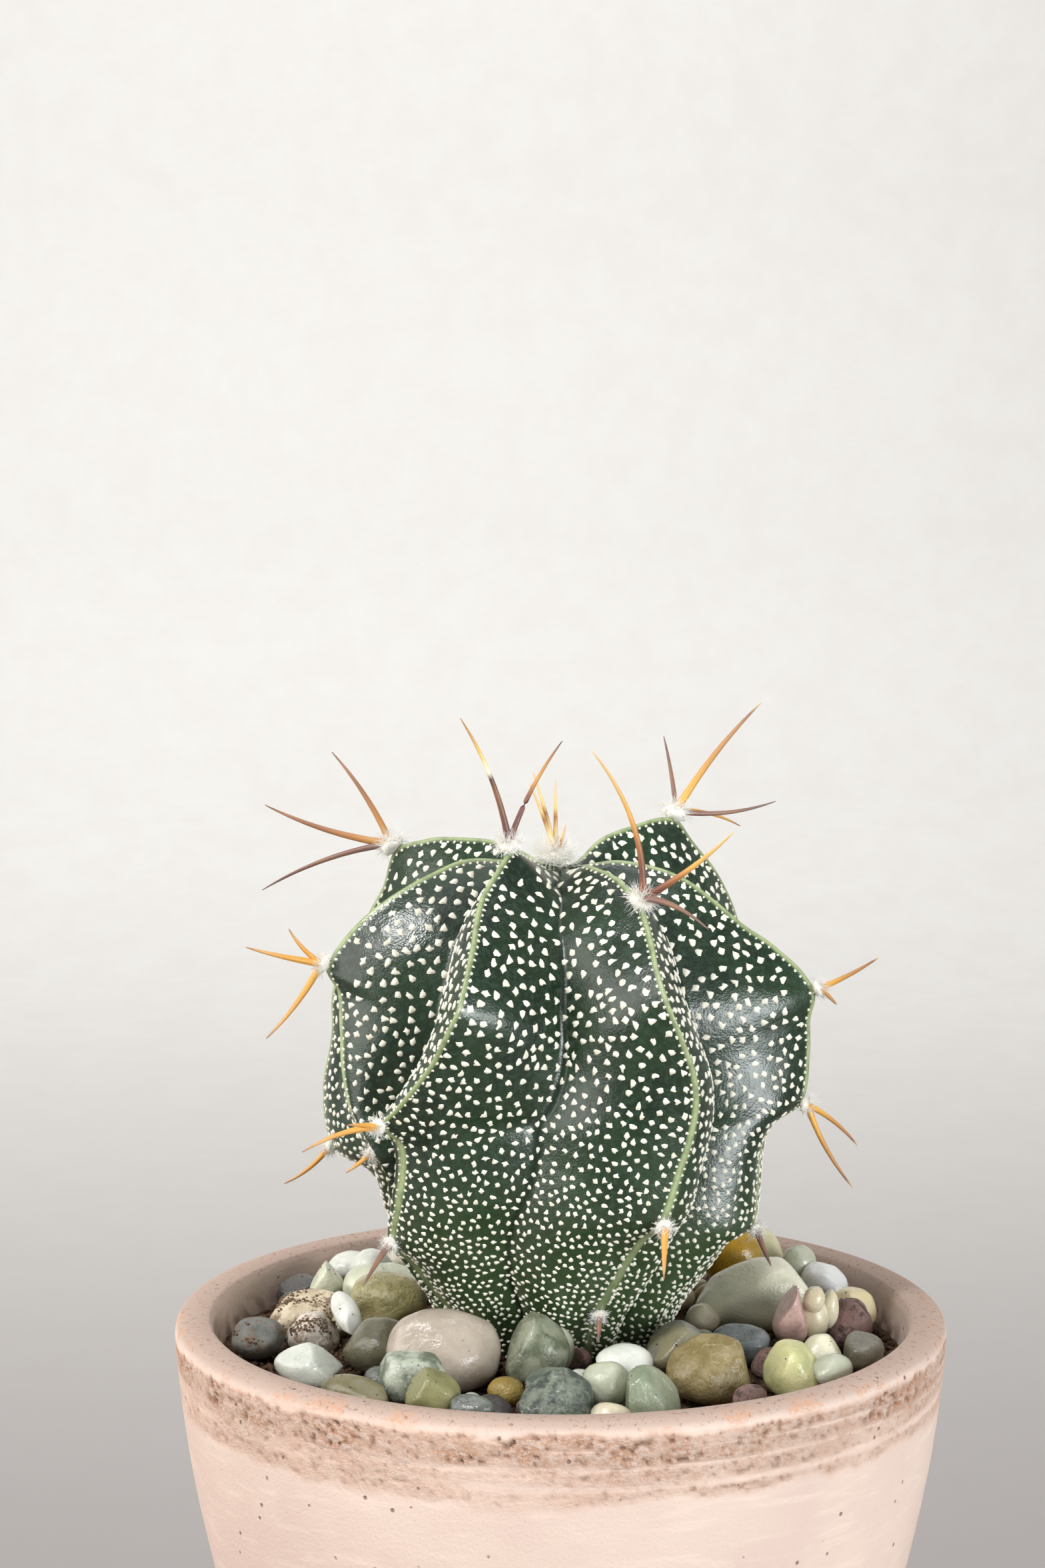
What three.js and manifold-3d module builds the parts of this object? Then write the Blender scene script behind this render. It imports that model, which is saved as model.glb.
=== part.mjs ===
// A small round ribbed cactus in a clay pot, topped with river pebbles. Millimetres, +Z up.
// The origin is the centre of the pot's resting face. Compass 0 faces -Y, +90 faces +X.
import * as THREE from "three";
import { mergeVertices } from "three/addons/utils/BufferGeometryUtils.js";
import Module from "manifold-3d";

// ---------------------------------------------------------------- driving sizes
const GAP = 0.3; // air left between pieces that touch
const HEART = 107; // height of the point the cactus swells out from

const POT = {
  turns: 48,
  holeRadius: 5,
  floor: 6,
  // outer wall from the base edge up and over the lip, as [radius, height]
  outside: [
    [27.7, 0], [28.6, 1], [35, 27.5], [41.2, 53], [42.8, 60.5], [44, 68],
    [44.8, 75], [45, 78.2], [44.5, 79.6], [43.4, 80],
  ],
  // inner wall from the lip down to the floor
  inside: [[41.6, 79.9], [40.7, 79.2], [40.2, 75], [37.6, 58], [30.6, 28], [25.4, 7.6], [23.8, 6]],
};

const SOIL = {
  turns: 40,
  // mounded top from the wall to the middle, as [radius, height]
  top: [[39.7, 74.8], [36, 75.4], [30, 75.8], [22, 76.4], [14, 77], [0, 77.4]],
  side: [[37.2, 58], [30.2, 28], [25, 7.8]],
  floorRadius: 23.3,
};

// The furrow between two ribs, as [radius, height] from the crown to the root.
const FURROW = [
  [0, 132], [4.5, 131.3], [9.5, 129.4], [14.2, 125.5], [17.2, 119], [18.7, 111],
  [19.6, 103], [19.4, 96], [17.8, 90], [15, 85], [12.6, 80], [11.2, 76], [7, 72.2], [0, 71],
];
const FACE_SWELL = [0.6, 2.4]; // how far a rib's face swells out, at the crown and below the middle
const BODY = { rows: 42, perFace: 4 };
const CLEARANCE = 0.45; // how much the body is grown to cut its seat and the areoles

// One rib each: its crest as [radius, height, compass] from the crown to the root.
const RIBS = [
  {
    name: "front_left",
    crest: [
      [3, 132.4, -40], [6.5, 134, -36], [11.2, 135.4, -31], [14.6, 132.9, -32], [17.2, 131.2, -31],
      [20.4, 129, -28], [23.6, 126.2, -25], [27.8, 120.6, -24], [28.4, 118, -26], [28, 114.5, -30],
      [27.8, 111.5, -35], [27.6, 108, -42], [27.3, 105.9, -47], [25.2, 103.6, -46], [24.7, 100.5, -46],
      [24.3, 96, -49], [23, 91, -55], [20.4, 88.6, -56], [18.2, 85.6, -55], [15.6, 82, -51], [12.6, 77, -47],
    ],
  },
  {
    name: "front_right",
    crest: [
      [3, 132.2, 28], [6.8, 133.2, 27], [9.8, 132.9, 30], [14, 131.9, 30], [17.8, 129.9, 29.5],
      [20.3, 127.7, 28], [24.3, 124.4, 25], [27.2, 120.6, 25], [28, 116.5, 28], [28, 112.5, 31],
      [27.6, 108.8, 32], [27, 104.8, 31], [26.2, 101.2, 29], [25.3, 95.8, 25.5], [22.8, 93.2, 22],
      [20.6, 89.4, 18], [17.4, 84.4, 13.5], [14.6, 81, 13], [12.6, 77, 12],
    ],
  },
  {
    name: "right",
    crest: [
      [3, 132.5, 82], [6.6, 133.1, 80], [10.6, 132.5, 80], [14.5, 131.1, 80], [18, 128.7, 80],
      [21.4, 125.9, 80], [25, 123.4, 80], [29.3, 118.7, 80], [28.8, 115, 80], [28.8, 111, 80],
      [28, 105.6, 78], [25.2, 103.6, 74], [23.9, 100.5, 71], [23.9, 96.5, 69], [23.7, 92.2, 66],
      [20.8, 90.6, 63], [18.3, 87.4, 59], [15.8, 83.6, 53], [13, 78, 48],
    ],
  },
  {
    name: "back_right",
    crest: [
      [3, 132.6, 136], [6, 134.7, 132], [10, 135.8, 130], [17.5, 136.3, 130], [20, 133.4, 128],
      [23, 129.6, 126], [26.6, 123, 126], [28.2, 116.5, 126], [28.3, 107, 130], [25.8, 103.6, 131],
      [24.6, 98.5, 133], [23.6, 92.5, 135], [19.8, 88.6, 136], [16.4, 84, 137], [13, 78, 138],
    ],
  },
  {
    name: "back",
    crest: [
      [3, 131.8, 180], [9, 131.5, 181], [15, 130.2, 181], [20.5, 127.6, 181], [24.6, 124.6, 180],
      [26, 121, 179], [28, 115.5, 180], [28.4, 106, 183], [26, 102.6, 184], [24.8, 98, 185],
      [23.4, 92, 184], [19.4, 88, 182], [16, 83, 180], [13, 78, 179],
    ],
  },
  {
    name: "back_left",
    crest: [
      [3, 132.6, -131], [8.5, 134.2, -127], [15, 134.4, -125], [20, 133.7, -125], [23.9, 132.2, -125],
      [25.2, 127.5, -123], [27.8, 121, -118], [29.4, 116, -114], [28.9, 110.6, -111], [29.6, 104, -109],
      [27.8, 97, -108], [23.2, 95.4, -112], [19.6, 92.5, -115], [17, 89, -118], [15.2, 84, -120],
      [13, 78, -121],
    ],
  },
  {
    name: "left",
    crest: [
      [3, 132.5, -83], [7.4, 133.2, -80], [11.5, 133.3, -78], [17.6, 130.7, -77], [23.4, 126.6, -77],
      [27.4, 121.2, -77], [26.2, 118.8, -76], [26.1, 114.5, -74], [26.2, 110, -72], [25.7, 105.6, -68],
      [23.8, 101.2, -62], [20.8, 98, -66], [18.8, 93, -74], [17.2, 88, -78], [15.4, 83.5, -80],
      [13, 78, -80],
    ],
  },
];

// Where each spiny cushion sits: the rib, the angle down its crest in degrees from the crown, and
// its spines as [compass, rise in degrees, length, curl in degrees, thickness at the root].
const AREOLES = [
  { name: "front_left_top", rib: "front_left", down: 21.5, pad: 1.5,
    spines: [[-69, 68, 15.5, -12, 0.74], [108, 61, 13, -10, 0.66]] },
  { name: "front_left_middle", rib: "front_left", down: 92.3, pad: 1.25,
    spines: [[-42, 12, 4.6, -4, 0.7], [-57, -10, 9.6, -14, 0.74]] },
  { name: "front_left_low", rib: "front_left", down: 123.4, pad: 1.2,
    spines: [[-33, -36, 6.2, -4, 0.74]] },
  { name: "front_right_top", rib: "front_right", down: 37, pad: 1.6,
    spines: [[-63, 69, 18, -24, 0.78], [67, 37, 13.4, 8, 0.84], [37, -10, 11.5, -16, 0.76]] },
  { name: "front_right_middle", rib: "front_right", down: 113.9, pad: 1.25,
    spines: [[-4, -58, 5.8, -8, 0.8]] },
  { name: "front_right_low", rib: "front_right", down: 142.4, pad: 1,
    spines: [[-3, -41, 3.4, 0, 0.7]] },
  { name: "right_top", rib: "right", down: 68.3, pad: 1.3,
    spines: [[72, 30, 7.8, 6, 0.66], [38, -30, 3.2, 0, 0.6]] },
  { name: "right_middle", rib: "right", down: 92.9, pad: 1.25,
    spines: [[70, -36, 7.4, -14, 0.66], [68, -59, 10.8, 12, 0.7]] },
  { name: "right_low", rib: "right", down: 122, pad: 1.15,
    spines: [[24, -43, 4.8, 6, 0.72]] },
  { name: "back_right_top", rib: "back_right", down: 30.8, pad: 1.7,
    spines: [[101, 51, 16.4, -8, 0.88], [-155, 69, 9.2, -8, 0.6], [108, 3, 12.7, 14, 0.66],
      [135, -14, 11.8, -12, 0.62]] },
  { name: "back_right_middle", rib: "back_right", down: 90, pad: 1.25,
    spines: [[118, 18, 9, 8, 0.68], [142, -28, 8.4, -10, 0.66]] },
  { name: "back_right_low", rib: "back_right", down: 121.5, pad: 1.15,
    spines: [[134, -30, 5, 4, 0.68]] },
  { name: "back_top", rib: "back", down: 54.4, pad: 1.45,
    spines: [[160, 10, 11, 8, 0.74], [204, -12, 10.4, -10, 0.7], [178, -42, 8, -8, 0.66]] },
  { name: "back_middle", rib: "back", down: 92, pad: 1.25,
    spines: [[172, -8, 8.4, -12, 0.7], [196, -40, 6.8, 6, 0.64]] },
  { name: "back_left_top", rib: "back_left", down: 43.5, pad: 1.7,
    spines: [[-113, 54, 13.2, -10, 0.76], [-98, 16, 15.9, 10, 0.9], [-90, -20, 16.4, -12, 0.72]] },
  { name: "back_left_middle", rib: "back_left", down: 108.8, pad: 1.2,
    spines: [[-79, -38, 6.8, 16, 0.62]] },
  { name: "left_top", rib: "left", down: 61.9, pad: 1.35,
    spines: [[-74, 48, 5.6, 14, 0.68], [-70, 15, 9.2, 4, 0.8], [-64, -50, 10.6, 10, 0.78]] },
  { name: "left_middle", rib: "left", down: 103.7, pad: 1.1,
    spines: [[-70, -34, 3.4, 4, 0.6]] },
];

const CROWN = {
  seat: [-0.6, 0, 134.2],
  wool: [2.3, 2.1, 1.7],
  spines: [[-90, 75, 9.6, -4, 0.62], [-60, 68, 8.8, -6, 0.6], [-178, 84, 8.4, 0, 0.58]],
};

const SPINE = { sides: 5, steps: 4, tip: 0.09 };

// Pebbles in the order they're laid: [x, y, length, width, height, compass turn, tilt, colour].
const JADE = 0xb9c4a4;
const PALE = 0xd8dcc8;
const OLIVE = 0x8f8f52;
const DARK = 0x3d4a44;
const CREAM = 0xd9c8b2;
const AMBER = 0xb38a2e;
const RUST = 0x7d5a4e;
const PEBBLES = [
  [-13.4, -20, 12, 9, 8.2, 4, 6, CREAM],
  [-20.6, -12, 8.6, 6.4, 6.2, -30, -6, OLIVE],
  [-20.4, 3.6, 9.2, 7.4, 7, -14, -10, OLIVE],
  [-21.2, 12.6, 9.2, 6.8, 6.2, 12, 8, JADE],
  [-35.2, -5.4, 7.4, 6, 4.8, 78, 0, DARK],
  [-28.9, -3.2, 6.4, 5.4, 5.6, 24, 10, DARK],
  [-30.4, 6.6, 8.6, 6.2, 5.2, 12, -4, CREAM],
  [-28.2, 14.4, 4.6, 4.6, 5.6, 0, 8, PALE],
  [-31.6, 20, 7, 4.4, 3.6, 58, 0, DARK],
  [-18.4, 25, 7.8, 6.4, 5.6, -24, 6, JADE],
  [-27.9, -16.6, 9.2, 6, 5.4, -24, 8, PALE],
  [-22.9, -29.2, 9.6, 3.8, 4, -38, 0, OLIVE],
  [-16.8, -27.8, 8.4, 5.6, 6.4, -14, 6, DARK],
  [-14.2, -33.8, 6.6, 4.6, 5.2, -20, 4, OLIVE],
  [-24.9, -3, 7.4, 2.8, 3, -66, 24, PALE],
  [-2.8, -20.2, 7.4, 6.2, 8.2, 18, 14, JADE],
  [-7.9, -33.2, 5, 4.8, 4.8, 30, -8, DARK],
  [-1, -26.4, 7, 4.8, 4.8, -8, 0, DARK],
  [-0.8, -33.6, 8.4, 6.2, 6.2, 4, -6, DARK],
  [13.2, -14.8, 8.4, 6.4, 6, 26, 10, OLIVE],
  [9.8, -32, 8.2, 6, 6.4, 34, 12, JADE],
  [16.6, -24.8, 10, 7.6, 7.4, 12, 4, AMBER],
  [20.6, -10.4, 7, 5.4, 5, -10, 0, DARK],
  [23.4, 5.4, 14.6, 9.4, 8.4, 10, -8, PALE],
  [20.8, 18.8, 7.4, 6.2, 6.4, -20, 0, AMBER],
  [24.8, 26, 7.4, 5.4, 8.6, 44, 12, JADE],
  [26.4, -8.4, 8.6, 4.2, 4.2, 70, 66, RUST],
  [25.8, -22.4, 6.6, 6.2, 6.4, -40, 6, JADE],
  [29.6, -15.2, 5, 4.6, 5.6, 0, 0, CREAM],
  [33.6, -2.8, 6.6, 5.6, 6, 70, 8, RUST],
  [32.4, 16.8, 7.2, 4.6, 5, 118, 0, PALE],
  [35.2, 6.6, 7.8, 4.4, 4.6, 102, -8, CREAM],
  [34.6, -11.2, 6, 4.4, 4.4, 76, 0, DARK],
  [-7.2, 30.4, 9, 7, 5.8, 14, 4, JADE],
  [2.4, 22.8, 8, 6.6, 6, -10, 0, PALE],
  [4.4, 33.2, 8.4, 6, 5.2, -4, 6, DARK],
  [12.8, 27.2, 7.4, 6.4, 5.8, 40, 0, OLIVE],
  [-8, 21, 7.4, 6, 5.8, 34, 6, DARK],
];
const STONE = { fine: 2, coarse: 1, fineFrom: 10, square: 2.5, lump: 0.1 };
const DROP = { from: 96, reach: 24, steps: 60, near: 0.34 };

const FINISH = {
  terracotta_pot: { color: 0xe0b9a0, roughness: 0.9 },
  potting_soil: { color: 0x3b2b22, roughness: 1 },
  cactus_body: { color: 0x3d5a3c, roughness: 0.55 },
  spines: { color: 0xb9803a, roughness: 0.5 },
  crown_wool: { color: 0xe8dcc4, roughness: 0.95 },
  pebble: { roughness: 0.35 },
};

// ---------------------------------------------------------------- helpers
const wasm = await Module();
wasm.setup();
const part = new THREE.Group();
const radians = THREE.MathUtils.degToRad;

/** The unit vector that points along a compass bearing at a rise above the horizon, in degrees. */
function bearing(compass, rise = 0) {
  const flat = Math.cos(radians(rise));
  return new THREE.Vector3(
    Math.sin(radians(compass)) * flat,
    -Math.cos(radians(compass)) * flat,
    Math.sin(radians(rise)),
  );
}

/** A geometry's surface as a manifold solid. */
function solid(geometry) {
  const bare = new THREE.BufferGeometry();
  bare.setAttribute("position", geometry.getAttribute("position"));
  bare.setIndex(geometry.getIndex());
  const welded = mergeVertices(bare, 1e-4);
  return new wasm.Manifold(
    new wasm.Mesh({
      numProp: 3,
      vertProperties: welded.getAttribute("position").array,
      triVerts: new Uint32Array(welded.getIndex().array),
    }),
  );
}

/** A manifold solid as a three.js geometry. */
function surface(shape) {
  const mesh = shape.getMesh();
  const geometry = new THREE.BufferGeometry();
  geometry.setAttribute("position", new THREE.BufferAttribute(mesh.vertProperties, 3));
  geometry.setIndex(new THREE.BufferAttribute(mesh.triVerts, 1));
  geometry.computeVertexNormals();
  return geometry;
}

/** Adds one named piece with its own material. */
function add(name, geometry, finish) {
  const material = new THREE.MeshStandardMaterial({ metalness: 0, ...finish });
  const mesh = new THREE.Mesh(geometry, material);
  mesh.name = name;
  part.add(mesh);
}

/** A solid of revolution about Z from [radius, height] pairs that run counter-clockwise. */
function turned(profile, turns) {
  const points = profile.map(([radius, height]) => new THREE.Vector2(radius, height));
  return new THREE.LatheGeometry(points, turns).rotateX(Math.PI / 2);
}

/**
 * A closed skin over rings of points that start and end in a single point each. Every ring runs
 * counter-clockwise as it's seen from the first point.
 */
function skin(rings) {
  const first = rings[0][0];
  const last = rings[rings.length - 1][0];
  const hoops = rings.slice(1, -1);
  const around = hoops[0].length;
  const points = [first, ...hoops.flat(), last];
  const index = [];
  for (let i = 0; i < around; i++) {
    const next = (i + 1) % around;
    index.push(0, 1 + i, 1 + next);
    for (let hoop = 0; hoop < hoops.length - 1; hoop++) {
      const here = 1 + hoop * around;
      const below = here + around;
      index.push(here + i, below + i, below + next);
      index.push(here + i, below + next, here + next);
    }
    const end = 1 + (hoops.length - 1) * around;
    index.push(end + i, points.length - 1, end + next);
  }
  const geometry = new THREE.BufferGeometry().setFromPoints(points);
  geometry.setIndex(index);
  return geometry;
}

/** Reads a table of [angle, value, ...] rows at an angle, with smooth joins between the rows. */
function readSmooth(table, angle) {
  let at = 1;
  while (at < table.length - 2 && table[at + 1][0] < angle) at++;
  if (angle < table[1][0]) at = 0;
  const rows = [at - 1, at, at + 1, at + 2].map((i) => table[THREE.MathUtils.clamp(i, 0, table.length - 1)]);
  const [before, low, high, after] = rows;
  const span = high[0] - low[0];
  const f = THREE.MathUtils.clamp((angle - low[0]) / span, 0, 1);
  return low.slice(1).map((value, i) => {
    const lowSlope = ((high[i + 1] - before[i + 1]) / (high[0] - before[0])) * span;
    const highSlope = ((after[i + 1] - value) / (after[0] - low[0])) * span;
    return (
      (2 * f ** 3 - 3 * f ** 2 + 1) * value +
      (f ** 3 - 2 * f ** 2 + f) * lowSlope +
      (3 * f ** 2 - 2 * f ** 3) * high[i + 1] +
      (f ** 3 - f ** 2) * highSlope
    );
  });
}

// ---------------------------------------------------------------- cactus
const FULL_TURN = 360;
const CROWN_REACH = FURROW[0][1] - HEART;
const ROOT_REACH = HEART - FURROW[FURROW.length - 1][1];

/** [radius, height, ...rest] as [angle down from the crown, distance from the heart, ...rest]. */
function fromHeart([radius, height, ...rest]) {
  const angle = THREE.MathUtils.radToDeg(Math.atan2(radius, height - HEART));
  return [angle, Math.hypot(radius, height - HEART), ...rest];
}

const furrowTable = FURROW.map(fromHeart);
const crestTables = RIBS.map(({ crest }) => {
  const rows = crest.map(fromHeart);
  const start = [0, CROWN_REACH, rows[0][2]];
  const end = [180, ROOT_REACH, rows[rows.length - 1][2]];
  return [start, ...rows, end];
});

/** The point a distance from the heart, at an angle down from the crown and a compass bearing. */
function polar(distance, angle, compass) {
  const out = bearing(compass).multiplyScalar(distance * Math.sin(radians(angle)));
  return out.setZ(HEART + distance * Math.cos(radians(angle)));
}

/** The crest of a rib at an angle down from the crown. */
function crestPoint(rib, angle) {
  const [distance, compass] = readSmooth(crestTables[rib], angle);
  return polar(distance, angle, compass);
}

/** The ring of body points at an angle down from the crown, pushed out by a margin. */
function bodyRing(angle, margin) {
  const [furrowDistance] = readSmooth(furrowTable, angle);
  const blend = THREE.MathUtils.smoothstep(angle, 20, 100);
  const fade = Math.sin(radians(angle)) ** 0.5;
  const swell = THREE.MathUtils.lerp(...FACE_SWELL, blend) * fade;
  const ring = [];
  for (let rib = 0; rib < RIBS.length; rib++) {
    const next = (rib + 1) % RIBS.length;
    const [, compass] = readSmooth(crestTables[rib], angle);
    const [, nextCompass] = readSmooth(crestTables[next], angle);
    const turn = THREE.MathUtils.euclideanModulo(nextCompass - compass, FULL_TURN);
    const furrow = polar(furrowDistance, angle, compass + turn / 2);
    const corners = [crestPoint(rib, angle), furrow, crestPoint(next, angle)];
    for (let face = 0; face < 2; face++) {
      for (let step = 0; step < BODY.perFace; step++) {
        const f = step / BODY.perFace;
        const point = corners[face].clone().lerp(corners[face + 1], f);
        const out = point.clone().setZ(point.z - HEART);
        const reach = out.length();
        const pushed = reach + swell * Math.sin(Math.PI * f) + margin;
        ring.push(out.multiplyScalar(pushed / reach).setZ(out.z + HEART));
      }
    }
  }
  return ring;
}

/** The whole cactus body, or a larger copy of it to cut other pieces with. */
function cactusBody(margin = 0) {
  const rings = [[new THREE.Vector3(0, 0, HEART + CROWN_REACH + margin)]];
  for (let row = 1; row < BODY.rows; row++) {
    rings.push(bodyRing((180 * row) / BODY.rows, margin));
  }
  rings.push([new THREE.Vector3(0, 0, HEART - ROOT_REACH - margin)]);
  return skin(rings);
}

/** One tapered, curved spine that starts inside its cushion. */
function spine(seat, [compass, rise, length, curl, thickness]) {
  const tip = bearing(compass, rise).multiplyScalar(length).add(seat);
  const elbow = bearing(compass, rise - curl).multiplyScalar(length / 2).add(seat);
  const path = new THREE.QuadraticBezierCurve3(seat, elbow, tip);
  const frames = path.computeFrenetFrames(SPINE.steps);
  const rings = [[seat.clone().addScaledVector(frames.tangents[0], -thickness / 2)]];
  for (let step = 0; step < SPINE.steps; step++) {
    const f = step / SPINE.steps;
    const radius = THREE.MathUtils.lerp(thickness / 2, SPINE.tip, f ** 0.8);
    const middle = path.getPoint(f);
    const ring = [];
    for (let side = 0; side < SPINE.sides; side++) {
      const turn = (2 * Math.PI * side) / SPINE.sides;
      const spoke = middle.clone().addScaledVector(frames.normals[step], radius * Math.cos(turn));
      ring.push(spoke.addScaledVector(frames.binormals[step], -radius * Math.sin(turn)));
    }
    rings.push(ring);
  }
  rings.push([tip]);
  return solid(skin(rings));
}

/** A woolly cushion with its spines, as one solid. */
function cushion(seat, size, spines) {
  const wool = new THREE.IcosahedronGeometry(1, 1).scale(...size).translate(...seat.toArray());
  return spines.reduce((shape, shapeOf) => shape.add(spine(seat, shapeOf)), solid(wool));
}

const body = cactusBody();
const grownBody = solid(cactusBody(CLEARANCE));
add("cactus_body", body, FINISH.cactus_body);

for (const { name, rib, down, pad, spines } of AREOLES) {
  const index = RIBS.findIndex((one) => one.name === rib);
  const crest = crestPoint(index, down);
  const outward = crest.clone().setZ(crest.z - HEART).normalize();
  const seat = crest.addScaledVector(outward, CLEARANCE + pad * 0.35);
  const shape = cushion(seat, [pad, pad, pad], spines).subtract(grownBody);
  add(`areole_${name}`, surface(shape), FINISH.spines);
}

const crownSeat = new THREE.Vector3(...CROWN.seat);
const crown = cushion(crownSeat, CROWN.wool, CROWN.spines).subtract(grownBody);
add("crown_wool", surface(crown), FINISH.crown_wool);

// ---------------------------------------------------------------- pot and soil
const potProfile = [
  [POT.holeRadius, 0],
  ...POT.outside,
  ...POT.inside,
  [POT.holeRadius, POT.floor],
  [POT.holeRadius, 0],
];
add("terracotta_pot", turned(potProfile, POT.turns), FINISH.terracotta_pot);

const soilProfile = [
  [0, POT.floor + GAP],
  [SOIL.floorRadius, POT.floor + GAP],
  ...SOIL.side.toReversed(),
  ...SOIL.top,
];
const soil = solid(turned(soilProfile, SOIL.turns)).subtract(grownBody);
add("potting_soil", surface(soil), FINISH.potting_soil);

// ---------------------------------------------------------------- pebbles
/** A rounded, slightly lumpy stone of a given size. */
function stone(length, width, height, seed, detail) {
  const shape = new THREE.IcosahedronGeometry(1, detail);
  const corners = shape.getAttribute("position");
  const corner = new THREE.Vector3();
  for (let i = 0; i < corners.count; i++) {
    corner.fromBufferAttribute(corners, i);
    const powers = corner.toArray().map((value) => Math.abs(value) ** STONE.square);
    const squared = (powers[0] + powers[1] + powers[2]) ** (-1 / STONE.square);
    const lump = Math.sin(2 * corner.x + seed) + Math.sin(2.6 * corner.y + 2.1 * seed);
    corner.multiplyScalar(squared * (1 + STONE.lump * 0.5 * lump));
    corners.setXYZ(i, corner.x, corner.y, corner.z);
  }
  return shape.scale(length / 2, width / 2, height / 2);
}

/** Lowers a shape until it nearly touches what lies below it. */
function settle(shape, below) {
  let height = DROP.from;
  for (let step = 0; step < DROP.steps; step++) {
    const clear = shape.translate([0, 0, height]).minGap(below, DROP.reach);
    if (clear < DROP.near) break;
    height -= clear - GAP;
  }
  return height;
}

let laid = soil;
PEBBLES.forEach(([x, y, length, width, height, turn, tilt, color], i) => {
  const detail = length > STONE.fineFrom ? STONE.fine : STONE.coarse;
  const shape = stone(length, width, height, i + 1, detail);
  shape.rotateY(radians(tilt)).rotateZ(radians(turn)).translate(x, y, 0);
  shape.translate(0, 0, settle(solid(shape), laid));
  laid = laid.add(solid(shape));
  const number = String(i + 1).padStart(2, "0");
  add(`pebble_${number}`, shape, { color, ...FINISH.pebble });
});

export default part;
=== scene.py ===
"""Dresses the frame of a small ribbed cactus in a clay pot: skin, spines, stones and clay."""

import logging
import math
import random
from dataclasses import dataclass
from enum import Enum
from itertools import product

import bpy
import numpy as np
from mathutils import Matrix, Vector, noise


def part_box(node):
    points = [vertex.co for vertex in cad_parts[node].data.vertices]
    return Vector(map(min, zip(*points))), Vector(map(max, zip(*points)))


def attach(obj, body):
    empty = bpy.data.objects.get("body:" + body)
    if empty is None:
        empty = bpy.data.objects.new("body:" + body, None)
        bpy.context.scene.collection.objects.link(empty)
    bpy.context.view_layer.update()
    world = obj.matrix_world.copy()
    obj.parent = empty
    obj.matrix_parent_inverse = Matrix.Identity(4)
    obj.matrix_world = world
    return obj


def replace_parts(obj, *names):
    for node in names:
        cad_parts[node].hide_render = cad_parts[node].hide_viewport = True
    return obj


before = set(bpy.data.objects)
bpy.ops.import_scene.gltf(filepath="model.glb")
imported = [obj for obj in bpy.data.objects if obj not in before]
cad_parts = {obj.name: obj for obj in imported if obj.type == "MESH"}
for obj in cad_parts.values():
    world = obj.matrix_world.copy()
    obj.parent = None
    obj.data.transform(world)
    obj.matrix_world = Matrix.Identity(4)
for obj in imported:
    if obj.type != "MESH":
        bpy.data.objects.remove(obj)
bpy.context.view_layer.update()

MM = 0.001
HEART = 107.0  # height in mm of the point the cactus swells out from
log = logging.getLogger("cactus")

Colour = tuple[float, float, float, float]
Socket = bpy.types.NodeSocket
Triple = tuple[float, float, float]
Spot = tuple[np.ndarray, np.ndarray, np.ndarray, float]  # middle, outward, down the rib, size


# ---------------------------------------------------------------- small tools
def srgb(red: float, green: float, blue: float) -> Colour:
    """Turns a colour as it's seen on a screen into the shader's linear colour.

    Args:
        red: The red part, from 0 to 255.
        green: The green part.
        blue: The blue part.

    Returns:
        The linear colour, fully opaque.
    """
    linear = []
    for part in (red, green, blue):
        share = part / 255.0
        linear.append(share / 12.92 if share <= 0.04045 else ((share + 0.055) / 1.055) ** 2.4)
    return (linear[0], linear[1], linear[2], 1.0)


def smoothstep(low: float, high: float, value: np.ndarray | float) -> np.ndarray | float:
    """Rises smoothly from 0 at low to 1 at high."""
    share = np.clip((value - low) / (high - low), 0.0, 1.0)
    return share * share * (3.0 - 2.0 * share)


def bearing(compass: float, rise: float = 0.0) -> np.ndarray:
    """Gives the unit vector along a compass bearing at a rise above the horizon, in degrees.

    Args:
        compass: Degrees round from the front, towards +X.
        rise: Degrees above the horizon.

    Returns:
        The unit vector.
    """
    around, up = math.radians(compass), math.radians(rise)
    return np.array(
        [math.sin(around) * math.cos(up), -math.cos(around) * math.cos(up), math.sin(up)]
    )


def unit(way: np.ndarray) -> np.ndarray:
    """Gives a direction the length 1."""
    return way / np.linalg.norm(way)


def turns(count: int) -> list[float]:
    """Lists angles in radians that share out a full turn."""
    return [2 * math.pi * k / count for k in range(count)]


def beside(ahead: np.ndarray, hint: tuple | np.ndarray) -> tuple[np.ndarray, np.ndarray]:
    """Gives two directions square to one and to each other, the first square to a hint too."""
    side = unit(np.cross(ahead, hint))
    return side, np.cross(ahead, side)


def read_smooth(table: np.ndarray, angle: float) -> np.ndarray:
    """Reads a table whose first column is an angle, with smooth joins between its rows.

    Args:
        table: Rows of [angle, value, ...] in order of angle.
        angle: The angle to read at, in degrees.

    Returns:
        The values at that angle.
    """
    at = int(np.clip(np.searchsorted(table[:, 0], angle) - 1, 0, len(table) - 2))
    before, low = table[max(at - 1, 0)], table[at]
    high, after = table[at + 1], table[min(at + 2, len(table) - 1)]
    span = high[0] - low[0]
    f = min(max((angle - low[0]) / span, 0.0), 1.0)
    low_slope = (high[1:] - before[1:]) / (high[0] - before[0]) * span
    high_slope = (after[1:] - low[1:]) / (after[0] - low[0]) * span
    return (
        (2 * f**3 - 3 * f**2 + 1) * low[1:]
        + (f**3 - 2 * f**2 + f) * low_slope
        + (3 * f**2 - 2 * f**3) * high[1:]
        + (f**3 - f**2) * high_slope
    )


def ripple(point: np.ndarray, size: float, seed: float = 0.0) -> float:
    """Gives smooth noise from about -1 to 1 that changes over a size in mm."""
    return noise.noise(Vector((point[0] / size + seed, point[1] / size - seed, point[2] / size)))


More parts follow.
